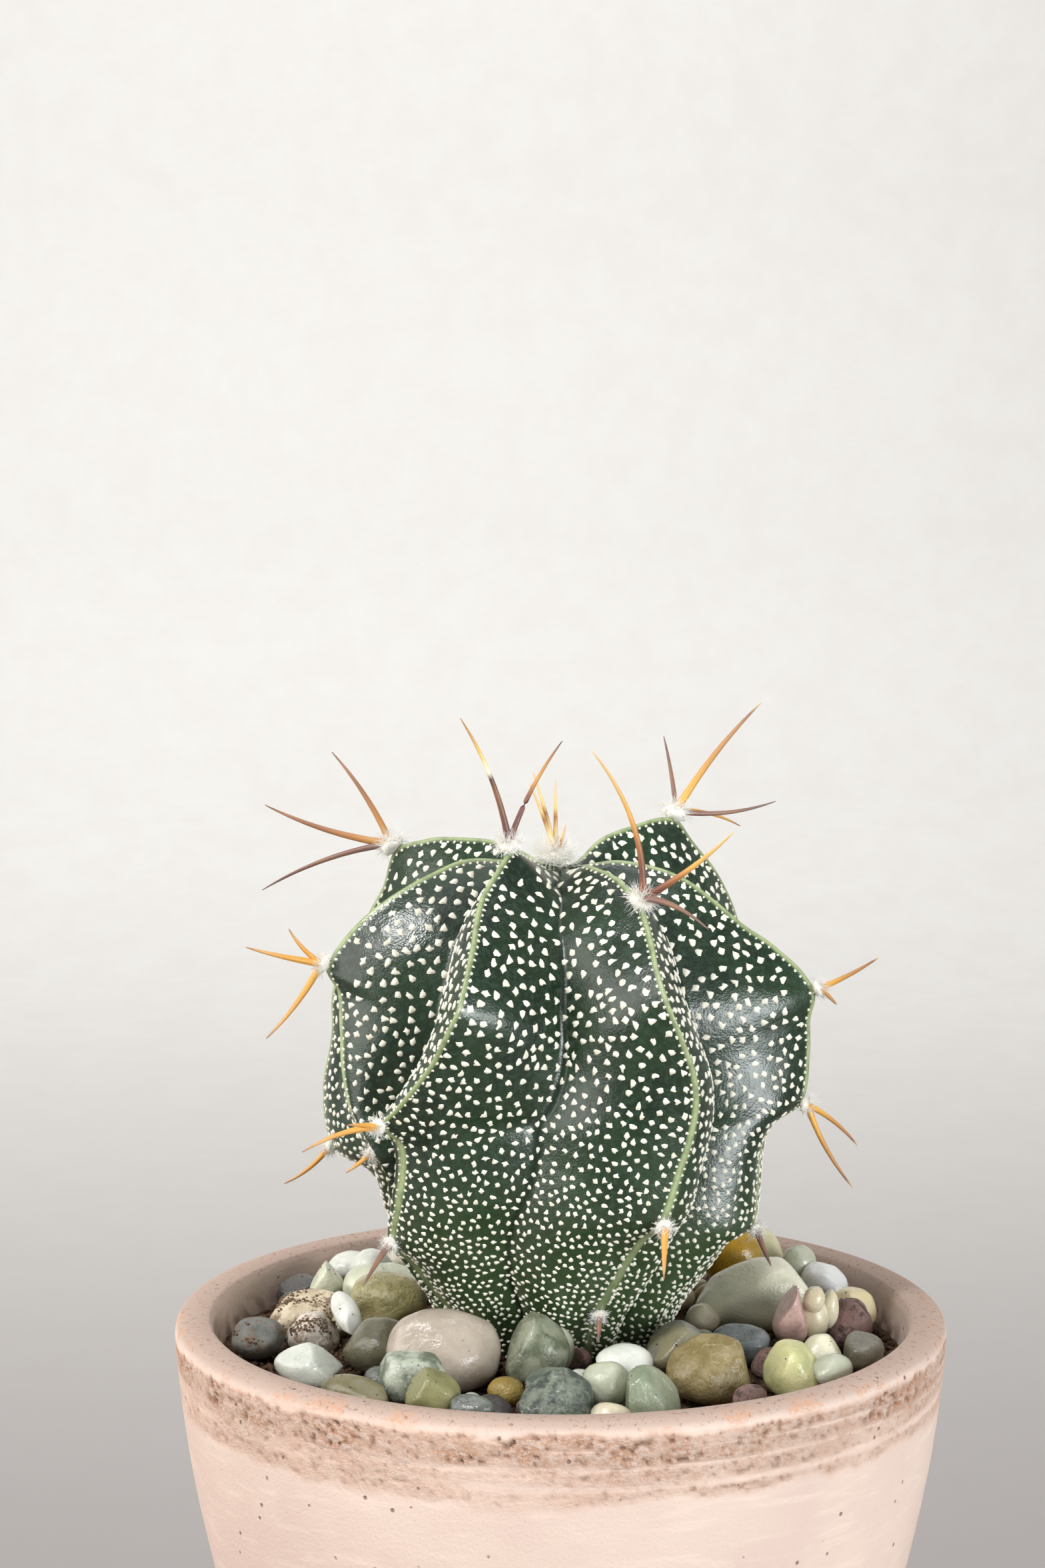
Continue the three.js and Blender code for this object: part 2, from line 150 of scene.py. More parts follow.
def grid_faces(rows: int, columns: int, closed: bool = True) -> np.ndarray:
    """Lists the quads of a grid of points, with its last column joined to its first if closed.

    Args:
        rows: How many rows of points.
        columns: How many points in a row.
        closed: Whether each row is a ring.

    Returns:
        One row of four indices per quad.
    """
    row = np.arange(rows - 1)[:, None]
    column = np.arange(columns if closed else columns - 1)[None, :]
    here = row * columns + column
    there = row * columns + (column + 1) % columns
    return np.stack([here, here + columns, there + columns, there], axis=-1).reshape(-1, 4)


class Shell:
    """Gathers points, faces and painted values, in mm, and builds one piece from them."""

    def __init__(self) -> None:
        """Starts empty."""
        self.points: list[np.ndarray] = []
        self.faces: list[list[int]] = []
        self.paint: dict[str, list[np.ndarray]] = {}
        self.count = 0

    def add(
        self, points: np.ndarray | list, faces: np.ndarray | list, **paint: np.ndarray | list
    ) -> None:
        """Adds points and the faces between them.

        Args:
            points: One row of x, y and z in mm per point.
            faces: Lists of indices into these points.
            paint: Named values, one per point.
        """
        start = self.count
        self.points.append(np.asarray(points))
        self.faces.extend([int(i) + start for i in face] for face in faces)
        for name, values in paint.items():
            self.paint.setdefault(name, []).append(np.asarray(values, dtype=float))
        self.count += len(points)

    def build(self, name: str, material: bpy.types.Material) -> bpy.types.Object:
        """Makes the piece, smooth-shaded, and lets it ride on the one body.

        Args:
            name: The piece's name.
            material: Its finish.

        Returns:
            The new object.
        """
        mesh = bpy.data.meshes.new(name)
        mesh.from_pydata((np.concatenate(self.points) * MM).tolist(), [], self.faces)
        mesh.polygons.foreach_set("use_smooth", [True] * len(mesh.polygons))
        for label, values in self.paint.items():
            joined = np.concatenate(values)
            if joined.ndim == 2:
                layer = mesh.attributes.new(label, "FLOAT_COLOR", "POINT")
                flat = np.concatenate([joined, np.ones((len(joined), 1))], axis=1)
                layer.data.foreach_set("color", flat.ravel())
            else:
                layer = mesh.attributes.new(label, "FLOAT", "POINT")
                layer.data.foreach_set("value", joined)
        mesh.materials.append(material)
        mesh.update()
        piece = bpy.data.objects.new(name, mesh)
        bpy.context.collection.objects.link(piece)
        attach(piece, "root")
        return piece


# ---------------------------------------------------------------- finishes
class Weave:
    """Builds the nodes of one material around a Principled shader."""

    def __init__(self, name: str, roughness: float, **values: float | tuple) -> None:
        """Starts a material.

        Args:
            name: The material's name.
            roughness: The shader's roughness where nothing else drives it.
            values: Other shader sockets, with _ for each space.
        """
        self.material = bpy.data.materials.new(name)
        self.material.use_nodes = True
        self.tree = self.material.node_tree
        self.shader = self.tree.nodes["Principled BSDF"]
        self.shader.inputs["Roughness"].default_value = roughness
        for label, value in values.items():
            self.shader.inputs[label.replace("_", " ")].default_value = value
        self.place = self.tree.nodes.new("ShaderNodeTexCoord").outputs["Object"]

    def feed(self, socket: Socket, value: object) -> None:
        """Links a socket to another, or sets it to a plain value.

        Args:
            socket: The socket to fill.
            value: A socket, a number or a colour.
        """
        if isinstance(value, Socket):
            self.tree.links.new(value, socket)
        else:
            socket.default_value = value

    def node(self, kind: str, **values: object) -> bpy.types.ShaderNode:
        """Adds a node of a kind and feeds its named sockets, with _ for each space.

        Args:
            kind: The end of the node's type name.
            values: What goes into its sockets.

        Returns:
            The new node.
        """
        node = self.tree.nodes.new(f"ShaderNode{kind}")
        for label, value in values.items():
            self.feed(node.inputs[label.replace("_", " ")], value)
        return node

    def painted(self, name: str, colour: bool = False) -> Socket:
        """Reads a value or a colour painted on the mesh.

        Args:
            name: The paint's name.
            colour: Whether it is a colour.

        Returns:
            The painted value.
        """
        node = self.node("Attribute")
        node.attribute_name = name
        return node.outputs["Color" if colour else "Fac"]

    def stretch(self, scale: Triple) -> Socket:
        """Gives the position scaled along each axis, for streaks and layers."""
        return self.node("Mapping", Scale=scale, Vector=self.place).outputs["Vector"]

    def clouds(
        self, size: float, detail: float = 4.0, rough: float = 0.55, place: Socket | None = None
    ) -> Socket:
        """Makes soft noise.

        Args:
            size: The size of one patch in mm.
            detail: How many finer layers it has.
            rough: How strong the finer layers are.
            place: The position to read it at, if not the piece's own.

        Returns:
            A value from 0 to 1.
        """
        node = self.node(
            "TexNoise", Scale=1.0 / (size * MM), Detail=detail, Roughness=rough,
            Vector=place or self.place,
        )
        return node.outputs["Fac"]

    def cells(self, size: float) -> Socket:
        """Makes cells of a size in mm and gives the distance to their middle."""
        node = self.node("TexVoronoi", Scale=1.0 / (size * MM), Vector=self.place)
        return node.outputs["Distance"]

    def band(
        self, value: Socket, low: float, high: float, to: tuple[float, float] = (0.0, 1.0)
    ) -> Socket:
        """Turns low to high in a value into a smooth 0 to 1, or into another range.

        Args:
            value: The value to read.
            low: Where the band starts.
            high: Where it is full, which may be below low.
            to: What it gives at low and at high.

        Returns:
            The banded value.
        """
        node = self.node(
            "MapRange", Value=value, From_Min=low, From_Max=high, To_Min=to[0], To_Max=to[1]
        )
        node.interpolation_type = "SMOOTHSTEP"
        return node.outputs["Result"]

    def _reckon(self, kind: str, one: object, other: object) -> Socket:
        """Works out a sum of two values.

        Args:
            kind: The sum's name in capitals.
            one: The first value.
            other: The second value.

        Returns:
            The result.
        """
        node = self.node("Math")
        node.operation = kind
        self.feed(node.inputs[0], one)
        self.feed(node.inputs[1], other)
        return node.outputs[0]

    def times(self, one: object, other: object) -> Socket:
        """Multiplies two values."""
        return self._reckon("MULTIPLY", one, other)

    def most(self, one: object, other: object) -> Socket:
        """Gives the larger of two values."""
        return self._reckon("MAXIMUM", one, other)

    def away(self, value: Socket, level: float) -> Socket:
        """Gives how far a value is from a level."""
        return self._reckon("ABSOLUTE", self._reckon("SUBTRACT", value, level), 0.0)

    def mix(self, share: object, one: object, other: object) -> Socket:
        """Blends two colours, from one at 0 to the other at 1.

        Args:
            share: How much of the other.
            one: The colour at 0.
            other: The colour at 1.

        Returns:
            The blended colour.
        """
        node = self.node("Mix", Factor=share)
        node.data_type = "RGBA"
        self.feed(node.inputs[6], one)
        self.feed(node.inputs[7], other)
        return node.outputs[2]

    def axis(self, name: str) -> Socket:
        """Gives the position along one axis in metres."""
        return self.node("SeparateXYZ", Vector=self.place).outputs[name]

    def bump(self, value: Socket, depth: float, after: Socket | None = None) -> Socket:
        """Raises the surface by a value.

        Args:
            value: The relief from 0 to 1.
            depth: Its full height in mm.
            after: An earlier bump that this one is laid on.

        Returns:
            The bent normal.
        """
        node = self.node("Bump", Distance=depth * MM, Height=value)
        if after is not None:
            self.feed(node.inputs["Normal"], after)
        return node.outputs["Normal"]

    def finish(
        self, colour: object, normal: Socket, roughness: Socket | None = None
    ) -> bpy.types.Material:
        """Connects the colour, relief and roughness to the shader and returns the material.

        Args:
            colour: The base colour.
            normal: The bent normal.
            roughness: The roughness, if it varies.

        Returns:
            The material.
        """
        self.feed(self.shader.inputs["Base Color"], colour)
        self.feed(self.shader.inputs["Normal"], normal)
        if roughness is not None:
            self.feed(self.shader.inputs["Roughness"], roughness)
        return self.material


@dataclass(frozen=True)
class WaxySkin:
    """The skin: deep bluish green, with a waxy bloom and a pale line along each edge.

    The foot's paler green is painted light, standing in for light bounced up from the floor; it
    starts and is full at heights in metres.
    """

    deep: tuple = srgb(16, 33, 18)
    light: tuple = srgb(30, 52, 28)
    bloom: tuple = srgb(48, 70, 54)
    edge: tuple = srgb(162, 176, 128)
    # painted light: the paler green towards the foot stands in for light bounced up from the floor
    foot: tuple = srgb(70, 90, 56)
    bounce_light_from: float = 0.106
    bounce_light_full: float = 0.082

    def material(self) -> bpy.types.Material:
        """Builds the skin material.

        Returns:
            The material.
        """
        m = Weave("waxy_skin", 0.4, Specular_IOR_Level=0.6)
        patches = m.band(m.clouds(9.0, 3.0), 0.35, 0.68)
        colour = m.mix(patches, self.deep, self.light)
        mottle = m.band(m.clouds(0.7, 5.0, 0.7), 0.44, 0.62, (0.0, 0.55))
        colour = m.mix(mottle, colour, self.bloom)
        # painted light: the skin turns paler green towards the foot, standing in for the floor's
        # bounce
        foot = m.band(m.axis("Z"), self.bounce_light_from, self.bounce_light_full, (0.0, 0.6))
        colour = m.mix(foot, colour, self.foot)
        # painted shade: the bottoms of the furrows are darkened towards the deep green
        crease = m.times(m.painted("crease"), 0.75)
        colour = m.mix(crease, colour, self.deep)
        edge = m.times(m.painted("edge"), m.band(m.clouds(1.4), 0.25, 0.6, (0.6, 1.0)))
        colour = m.mix(edge, colour, self.edge)
        pores = m.bump(m.cells(0.26), 0.018)
        dents = m.bump(m.clouds(3.0, 4.0), 0.14, pores)
        shine = m.band(m.clouds(5.0, 3.0), 0.3, 0.75, (0.24, 0.34))
        return m.finish(colour, dents, shine)


@dataclass(frozen=True)
class WhiteFleck:
    """The cottony white flecks on the skin."""

    white: tuple = srgb(238, 235, 220)
    shade: tuple = srgb(214, 208, 184)

    def material(self) -> bpy.types.Material:
        """Builds the fleck material.

        Returns:
            The material.
        """
        m = Weave("white_fleck", 0.9, Specular_IOR_Level=0.2)
        colour = m.mix(m.band(m.clouds(0.9, 3.0), 0.45, 0.75), self.white, self.shade)
        return m.finish(colour, m.bump(m.clouds(0.16, 3.0), 0.05))


@dataclass(frozen=True)
class CreamWool:
    """The short wool of the cushions and the crown."""

    cream: tuple = srgb(253, 248, 238)
    straw: tuple = srgb(236, 216, 184)

    def material(self) -> bpy.types.Material:
        """Builds the wool material.

        Returns:
            The material.
        """
        m = Weave("cream_wool", 0.95, Specular_IOR_Level=0.15, Subsurface_Weight=0.6)
        m.shader.inputs["Subsurface Radius"].default_value = (0.0012, 0.001, 0.0008)
        colour = m.mix(m.band(m.clouds(0.8, 4.0), 0.58, 0.85), self.cream, self.straw)
        return m.finish(colour, m.bump(m.clouds(0.2, 3.0), 0.06))


@dataclass(frozen=True)
class Horn:
    """The spines' own colours are painted along them; this gives their streaks and gloss."""

    streak: tuple = srgb(92, 62, 46)

    def material(self) -> bpy.types.Material:
        """Builds the spine material.

        Returns:
            The material.
        """
        m = Weave("spine_horn", 0.38, Subsurface_Weight=0.3, Specular_IOR_Level=0.5)
        m.shader.inputs["Subsurface Radius"].default_value = (0.0006, 0.0003, 0.0001)
        streaks = m.band(m.clouds(0.5, 4.0, 0.7), 0.56, 0.76, (0.0, 0.3))
        colour = m.mix(streaks, m.painted("tone", True), self.streak)
        return m.finish(colour, m.bump(m.clouds(0.22, 3.0), 0.03))


@dataclass(frozen=True)
class Clay:
    """Fired clay: smooth and pale below, rough and redder in a worn band under the lip.

    The lip's greyer, darker tint is painted shade on its top; this band, which also holds the
    lip's scuffs, starts and is full at heights in metres.
    """

    pale: tuple = srgb(228, 206, 192)
    pink: tuple = srgb(221, 197, 184)
    worn: tuple = srgb(224, 178, 150)
    rust: tuple = srgb(208, 150, 112)
    pit: tuple = srgb(126, 84, 62)
    chip: tuple = srgb(242, 220, 206)
    # painted shade: the greyer, darker tint of the lip's top stands in for the shade that falls
    # there
    lip: tuple = srgb(180, 157, 144)
    soil: tuple = srgb(118, 88, 68)
    lip_shade_and_scuffs_from: float = 0.0786
    lip_shade_and_scuffs_full: float = 0.0797

    def material(self) -> bpy.types.Material:
        """Builds the clay material.

        Returns:
            The material.
        """
        m = Weave("fired_clay", 0.88, Specular_IOR_Level=0.25)
        colour = m.mix(m.band(m.clouds(22.0, 4.0), 0.35, 0.65), self.pale, self.pink)
        streaks = m.clouds(9.0, 5.0, 0.6, m.stretch((1.0, 1.0, 7.0)))
        colour = m.mix(m.band(streaks, 0.5, 0.72, (0.0, 0.5)), colour, self.chip)
        lip = m.band(m.axis("Z"), self.lip_shade_and_scuffs_from, self.lip_shade_and_scuffs_full)
        # painted shade on the lip's top, mixed towards the greyer tint
        colour = m.mix(m.times(lip, 0.9), colour, self.lip)
        worn = m.painted("worn")
        fine = m.clouds(0.5, 5.0, 0.7, m.stretch((1.0, 1.0, 1.6)))
        tint = m.mix(m.band(m.clouds(4.2, 6.0, 0.68), 0.42, 0.62), self.worn, self.rust)
        ragged = m.times(worn, m.band(m.clouds(1.9, 6.0, 0.7), 0.26, 0.5, (0.35, 1.0)))
        colour = m.mix(ragged, colour, tint)
        crumbs = m.times(m.band(fine, 0.51, 0.55, (0.0, 0.8)), worn)
        colour = m.mix(m.most(crumbs, m.painted("chip")), colour, self.chip)
        stain = m.times(m.painted("stain"), m.band(fine, 0.4, 0.6, (0.1, 0.7)))
        colour = m.mix(stain, colour, self.rust)
        colour = m.mix(m.painted("grime"), colour, self.soil)
        nicks = m.times(m.band(fine, 0.4, 0.34), m.band(worn, 0.3, 0.9, (0.0, 0.5)))
        specks = m.band(m.cells(2.6), 0.11, 0.05)
        marks = m.times(specks, m.band(m.clouds(5.0, 2.0), 0.48, 0.53, (0.0, 0.75)))
        pits = m.times(m.painted("pit"), 0.8)
        scuffs = m.band(m.clouds(0.6, 5.0, 0.7), 0.57, 0.64, (0.0, 0.6))
        nicks = m.most(nicks, m.times(scuffs, lip))
        dots = m.most(m.most(nicks, marks), pits)
        colour = m.mix(dots, colour, self.pit)
        grain = m.bump(m.clouds(0.45, 5.0, 0.7), 0.09)
        pitted = m.bump(m.times(marks, -1.0), 0.3, grain)
        relief = m.times(fine, m.band(worn, 0.0, 0.8, (0.03, 1.0)))
        return m.finish(colour, m.bump(relief, 0.5, pitted))


@dataclass(frozen=True)
class PottingMix:
    """Dark granular potting soil."""

    dark: tuple = srgb(56, 42, 33)
    brown: tuple = srgb(118, 92, 70)
    grit: tuple = srgb(166, 144, 118)

    def material(self, name: str = "potting_mix") -> bpy.types.Material:
        """Builds the soil material under a name.

        Args:
            name: The material's name.

        Returns:
            The material.
        """
        m = Weave(name, 0.95, Specular_IOR_Level=0.2)
        colour = m.mix(m.band(m.clouds(1.6, 5.0, 0.7), 0.35, 0.7), self.dark, self.brown)
        colour = m.mix(m.band(m.cells(1.1), 0.22, 0.1, (0.0, 0.5)), colour, self.grit)
        return m.finish(colour, m.bump(m.clouds(0.7, 6.0, 0.75), 0.5))


class Feel(Enum):
    """How a pebble feels, as its roughness, its clearness and the depth of its wear in mm."""

    WAXY = (0.15, 0.18, 0.18)
    CLEAR = (0.14, 0.35, 0.14)
    WET = (0.08, 0.2, 0.45)
    CRUSTED = (0.6, 0.05, 0.4)
    POROUS = (0.85, 0.0, 0.6)


@dataclass(frozen=True)
class RiverStone:
    """A river pebble's finish: two body colours, its veins, how it feels and its patches in mm."""

    main: tuple[int, int, int]
    other: tuple[int, int, int]
    vein: tuple[int, int, int] = (196, 200, 182)
    feel: Feel = Feel.WAXY
    patch: float = 3.2
    dried_mud: tuple = srgb(112, 88, 66)
    dark_holes: tuple = srgb(46, 32, 28)

    @staticmethod
    def _lifted(colour: tuple[int, int, int]) -> Colour:
        """Gives a stone's colour a little lighter, as dry stone looks."""
        return srgb(*(min(240.0, part * 1.06 + 3.0) for part in colour))

    def material(self, name: str) -> bpy.types.Material:
        """Builds the stone material under a name.

        Args:
            name: The material's name.

        Returns:
            The material.
        """
        gloss, clear, wear = self.feel.value
        m = Weave(name, gloss, Subsurface_Weight=clear, Specular_IOR_Level=0.65)
        m.shader.inputs["Subsurface Radius"].default_value = (0.0015, 0.0015, 0.001)
        patches = m.band(m.clouds(self.patch, 5.0, 0.6), 0.38, 0.64)
        colour = m.mix(patches, self._lifted(self.main), self._lifted(self.other))
        ridge = m.away(m.clouds(3.6, 3.0, 0.6), 0.5)
        lines = m.band(ridge, 0.014, 0.002, (0.0, 0.5))
        some = m.times(lines, m.band(m.clouds(5.0, 2.0), 0.46, 0.6))
        colour = m.mix(some, colour, srgb(*self.vein))
        dust = m.band(m.clouds(0.7, 5.0, 0.7), 0.56, 0.8, (0.0, 0.4))
        colour = m.mix(dust, colour, srgb(*self.vein))
        dark = tuple(int(part * 0.5) for part in self.main)
        colour = m.mix(m.band(m.cells(1.7), 0.09, 0.04, (0.0, 0.5)), colour, srgb(*dark))
        crusts = {Feel.CRUSTED: self.dried_mud, Feel.POROUS: self.dark_holes}
        if self.feel in crusts:
            crust = m.band(m.clouds(1.7, 5.0, 0.7), 0.5, 0.62, (0.0, 0.85))
            colour = m.mix(crust, colour, crusts[self.feel])
        worn = m.bump(m.clouds(1.6, 5.0, 0.6), wear)
        fine = m.bump(m.clouds(0.28, 4.0), 0.03 + wear * 0.12, worn)
        gleam = (gloss * 0.75, min(gloss * 1.5, 1.0))
        shine = m.band(m.clouds(1.1, 4.0), 0.3, 0.7, gleam)
        return m.finish(colour, fine, shine)


class Family(Enum):
    """The pebble families, each with the finish of its smallest stones."""

    JADE = RiverStone((156, 160, 138), (172, 174, 154))
    PALE = RiverStone((198, 200, 190), (210, 210, 202), feel=Feel.CLEAR)
    OLIVE = RiverStone((140, 134, 102), (154, 148, 116), (178, 174, 146))
    DARK = RiverStone((84, 88, 84), (102, 106, 98), (134, 138, 130))
    CREAM = RiverStone((206, 198, 174), (194, 182, 152), (216, 210, 194), Feel.CLEAR)
    AMBER = RiverStone((156, 132, 64), (138, 114, 54), (180, 164, 110), Feel.WET)
    RUST = RiverStone((118, 92, 84), (98, 74, 68), (146, 122, 112), Feel.POROUS)


# ---------------------------------------------------------------- cactus
@dataclass(frozen=True)
class Rib:
    """One rib: its crest as (radius, height, compass) from crown to root, in mm and degrees."""

    name: str
    crest: tuple[Triple, ...]


RIBS = (
    Rib("front_left", (
        (3, 132.4, -40), (6.5, 134, -36), (11.2, 135.4, -31), (14.6, 132.9, -32),
        (17.2, 131.2, -31), (20.4, 129, -28), (23.6, 126.2, -25), (27.8, 120.6, -24),
        (28.4, 118, -26), (28, 114.5, -30), (27.8, 111.5, -35), (27.6, 108, -42),
        (27.3, 105.9, -47), (25.2, 103.6, -46), (24.7, 100.5, -46), (24.3, 96, -49), (23, 91, -55),
        (20.4, 88.6, -56), (18.2, 85.6, -55), (15.6, 82, -51), (12.6, 77, -47),
    )),
    Rib("front_right", (
        (3, 132.2, 28), (6.8, 133.2, 27), (9.8, 132.9, 30), (14, 131.9, 30), (17.8, 129.9, 29.5),
        (20.3, 127.7, 28), (24.3, 124.4, 25), (27.2, 120.6, 25), (28, 116.5, 28), (28, 112.5, 31),
        (27.6, 108.8, 32), (27, 104.8, 31), (26.2, 101.2, 29), (25.3, 95.8, 25.5),
        (22.8, 93.2, 22), (20.6, 89.4, 18), (17.4, 84.4, 13.5), (14.6, 81, 13), (12.6, 77, 12),
    )),
    Rib("right", (
        (3, 132.5, 82), (6.6, 133.1, 80), (10.6, 132.5, 80), (14.5, 131.1, 80), (18, 128.7, 80),
        (21.4, 125.9, 80), (25, 123.4, 80), (29.3, 118.7, 80), (28.8, 115, 80), (28.8, 111, 80),
        (28, 105.6, 78), (25.2, 103.6, 74), (23.9, 100.5, 71), (23.9, 96.5, 69), (23.7, 92.2, 66),
        (20.8, 90.6, 63), (18.3, 87.4, 59), (15.8, 83.6, 53), (13, 78, 48),
    )),
    Rib("back_right", (
        (3, 132.6, 136), (6, 134.7, 132), (10, 135.8, 130), (17.5, 136.3, 130), (20, 133.4, 128),
        (23, 129.6, 126), (26.6, 123, 126), (28.2, 116.5, 126), (28.3, 107, 130),
        (25.8, 103.6, 131), (24.6, 98.5, 133), (23.6, 92.5, 135), (19.8, 88.6, 136),
        (16.4, 84, 137), (13, 78, 138),
    )),
    Rib("back", (
        (3, 131.8, 180), (9, 131.5, 181), (15, 130.2, 181), (20.5, 127.6, 181), (24.6, 124.6, 180),
        (26, 121, 179), (28, 115.5, 180), (28.4, 106, 183), (26, 102.6, 184), (24.8, 98, 185),
        (23.4, 92, 184), (19.4, 88, 182), (16, 83, 180), (13, 78, 179),
    )),
    Rib("back_left", (
        (3, 132.6, -131), (8.5, 134.2, -127), (15, 134.4, -125), (20, 133.7, -125),
        (23.9, 132.2, -125), (25.2, 127.5, -123), (27.8, 121, -118), (29.4, 116, -114),
        (28.9, 110.6, -111), (29.6, 104, -109), (27.8, 97, -108), (23.2, 95.4, -112),
        (19.6, 92.5, -115), (17, 89, -118), (15.2, 84, -120), (13, 78, -121),
    )),
    Rib("left", (
        (3, 132.5, -83), (7.4, 133.2, -80), (11.5, 133.3, -78), (17.6, 130.7, -77),
        (23.4, 126.6, -77), (27.4, 121.2, -77), (26.2, 118.8, -76), (26.1, 114.5, -74),
        (26.2, 110, -72), (25.7, 105.6, -68), (23.8, 101.2, -62), (20.8, 98, -66), (18.8, 93, -74),
        (17.2, 88, -78), (15.4, 83.5, -80), (13, 78, -80),
    )),
)

FURROW = (
    (0, 132), (4.5, 131.3), (9.5, 129.4), (14.2, 125.5), (17.2, 119), (18.7, 111), (19.6, 103),
    (19.4, 96), (17.8, 90), (15, 85), (12.6, 80), (11.2, 76), (7, 72.2), (0, 71),
)


class Tone(Enum):
    """How a spine's colour runs from its root to its tip, as stops of (share, colour)."""

    BANDED = (
        (0.0, (128, 88, 80)), (0.12, (108, 72, 62)), (0.4, (140, 100, 70)), (0.5, (92, 60, 46)),
        (0.56, (250, 240, 212)), (0.68, (236, 198, 108)), (0.85, (198, 146, 84)),
        (1.0, (170, 126, 76)),
    )
    PLUM = (
        (0.0, (132, 92, 86)), (0.25, (110, 72, 66)), (0.45, (132, 86, 62)), (0.6, (204, 152, 76)),
        (0.8, (176, 122, 70)), (1.0, (92, 66, 58)),
    )
    AMBER = (
        (0.0, (226, 176, 92)), (0.2, (224, 170, 80)), (0.45, (196, 142, 76)),
        (0.75, (178, 128, 84)), (0.9, (144, 104, 80)), (1.0, (220, 194, 136)),
    )
    TAN = (
        (0.0, (208, 168, 108)), (0.25, (186, 130, 74)), (0.6, (150, 106, 78)),
        (0.85, (164, 120, 92)), (1.0, (110, 80, 66)),
    )
    HONEY = (
        (0.0, (228, 196, 146)), (0.15, (226, 168, 74)), (0.5, (220, 158, 70)),
        (0.8, (210, 162, 100)), (1.0, (162, 118, 86)),
    )
    DUSKY = (
        (0.0, (158, 126, 110)), (0.2, (134, 102, 92)), (0.5, (146, 108, 86)), (0.8, (116, 86, 76)),
        (1.0, (130, 108, 100)),
    )
    FLAME = (
        (0.0, (150, 98, 70)), (0.18, (116, 74, 60)), (0.36, (172, 114, 70)),
        (0.55, (228, 172, 88)), (1.0, (228, 190, 128)),
    )
    IVORY = (
        (0.0, (240, 218, 172)), (0.3, (242, 218, 160)), (0.5, (168, 110, 58)),
        (0.62, (238, 206, 138)), (1.0, (224, 190, 154)),
    )

    def at(self, share: float) -> np.ndarray:
        """Gives the colour at a share of the way from root to tip.

        Args:
            share: From 0 at the root to 1 at the tip.

        Returns:
            The linear colour.
        """
        places = [stop[0] for stop in self.value]
        colours = [srgb(*stop[1])[:3] for stop in self.value]
        return np.array([np.interp(share, places, [c[i] for c in colours]) for i in range(3)])


@dataclass(frozen=True)
class Spine:
    """One spine: its compass and rise in degrees, length in mm, curl, thickness and colours."""

    compass: float
    rise: float
    length: float
    curl: float
    thickness: float
    tone: Tone


@dataclass(frozen=True)
class Areole:
    """A woolly cushion on a rib, at an angle down from the crown, with its spines."""

    name: str
    rib: str
    down: float
    pad: float
    wool: float
    spines: tuple[Spine, ...]


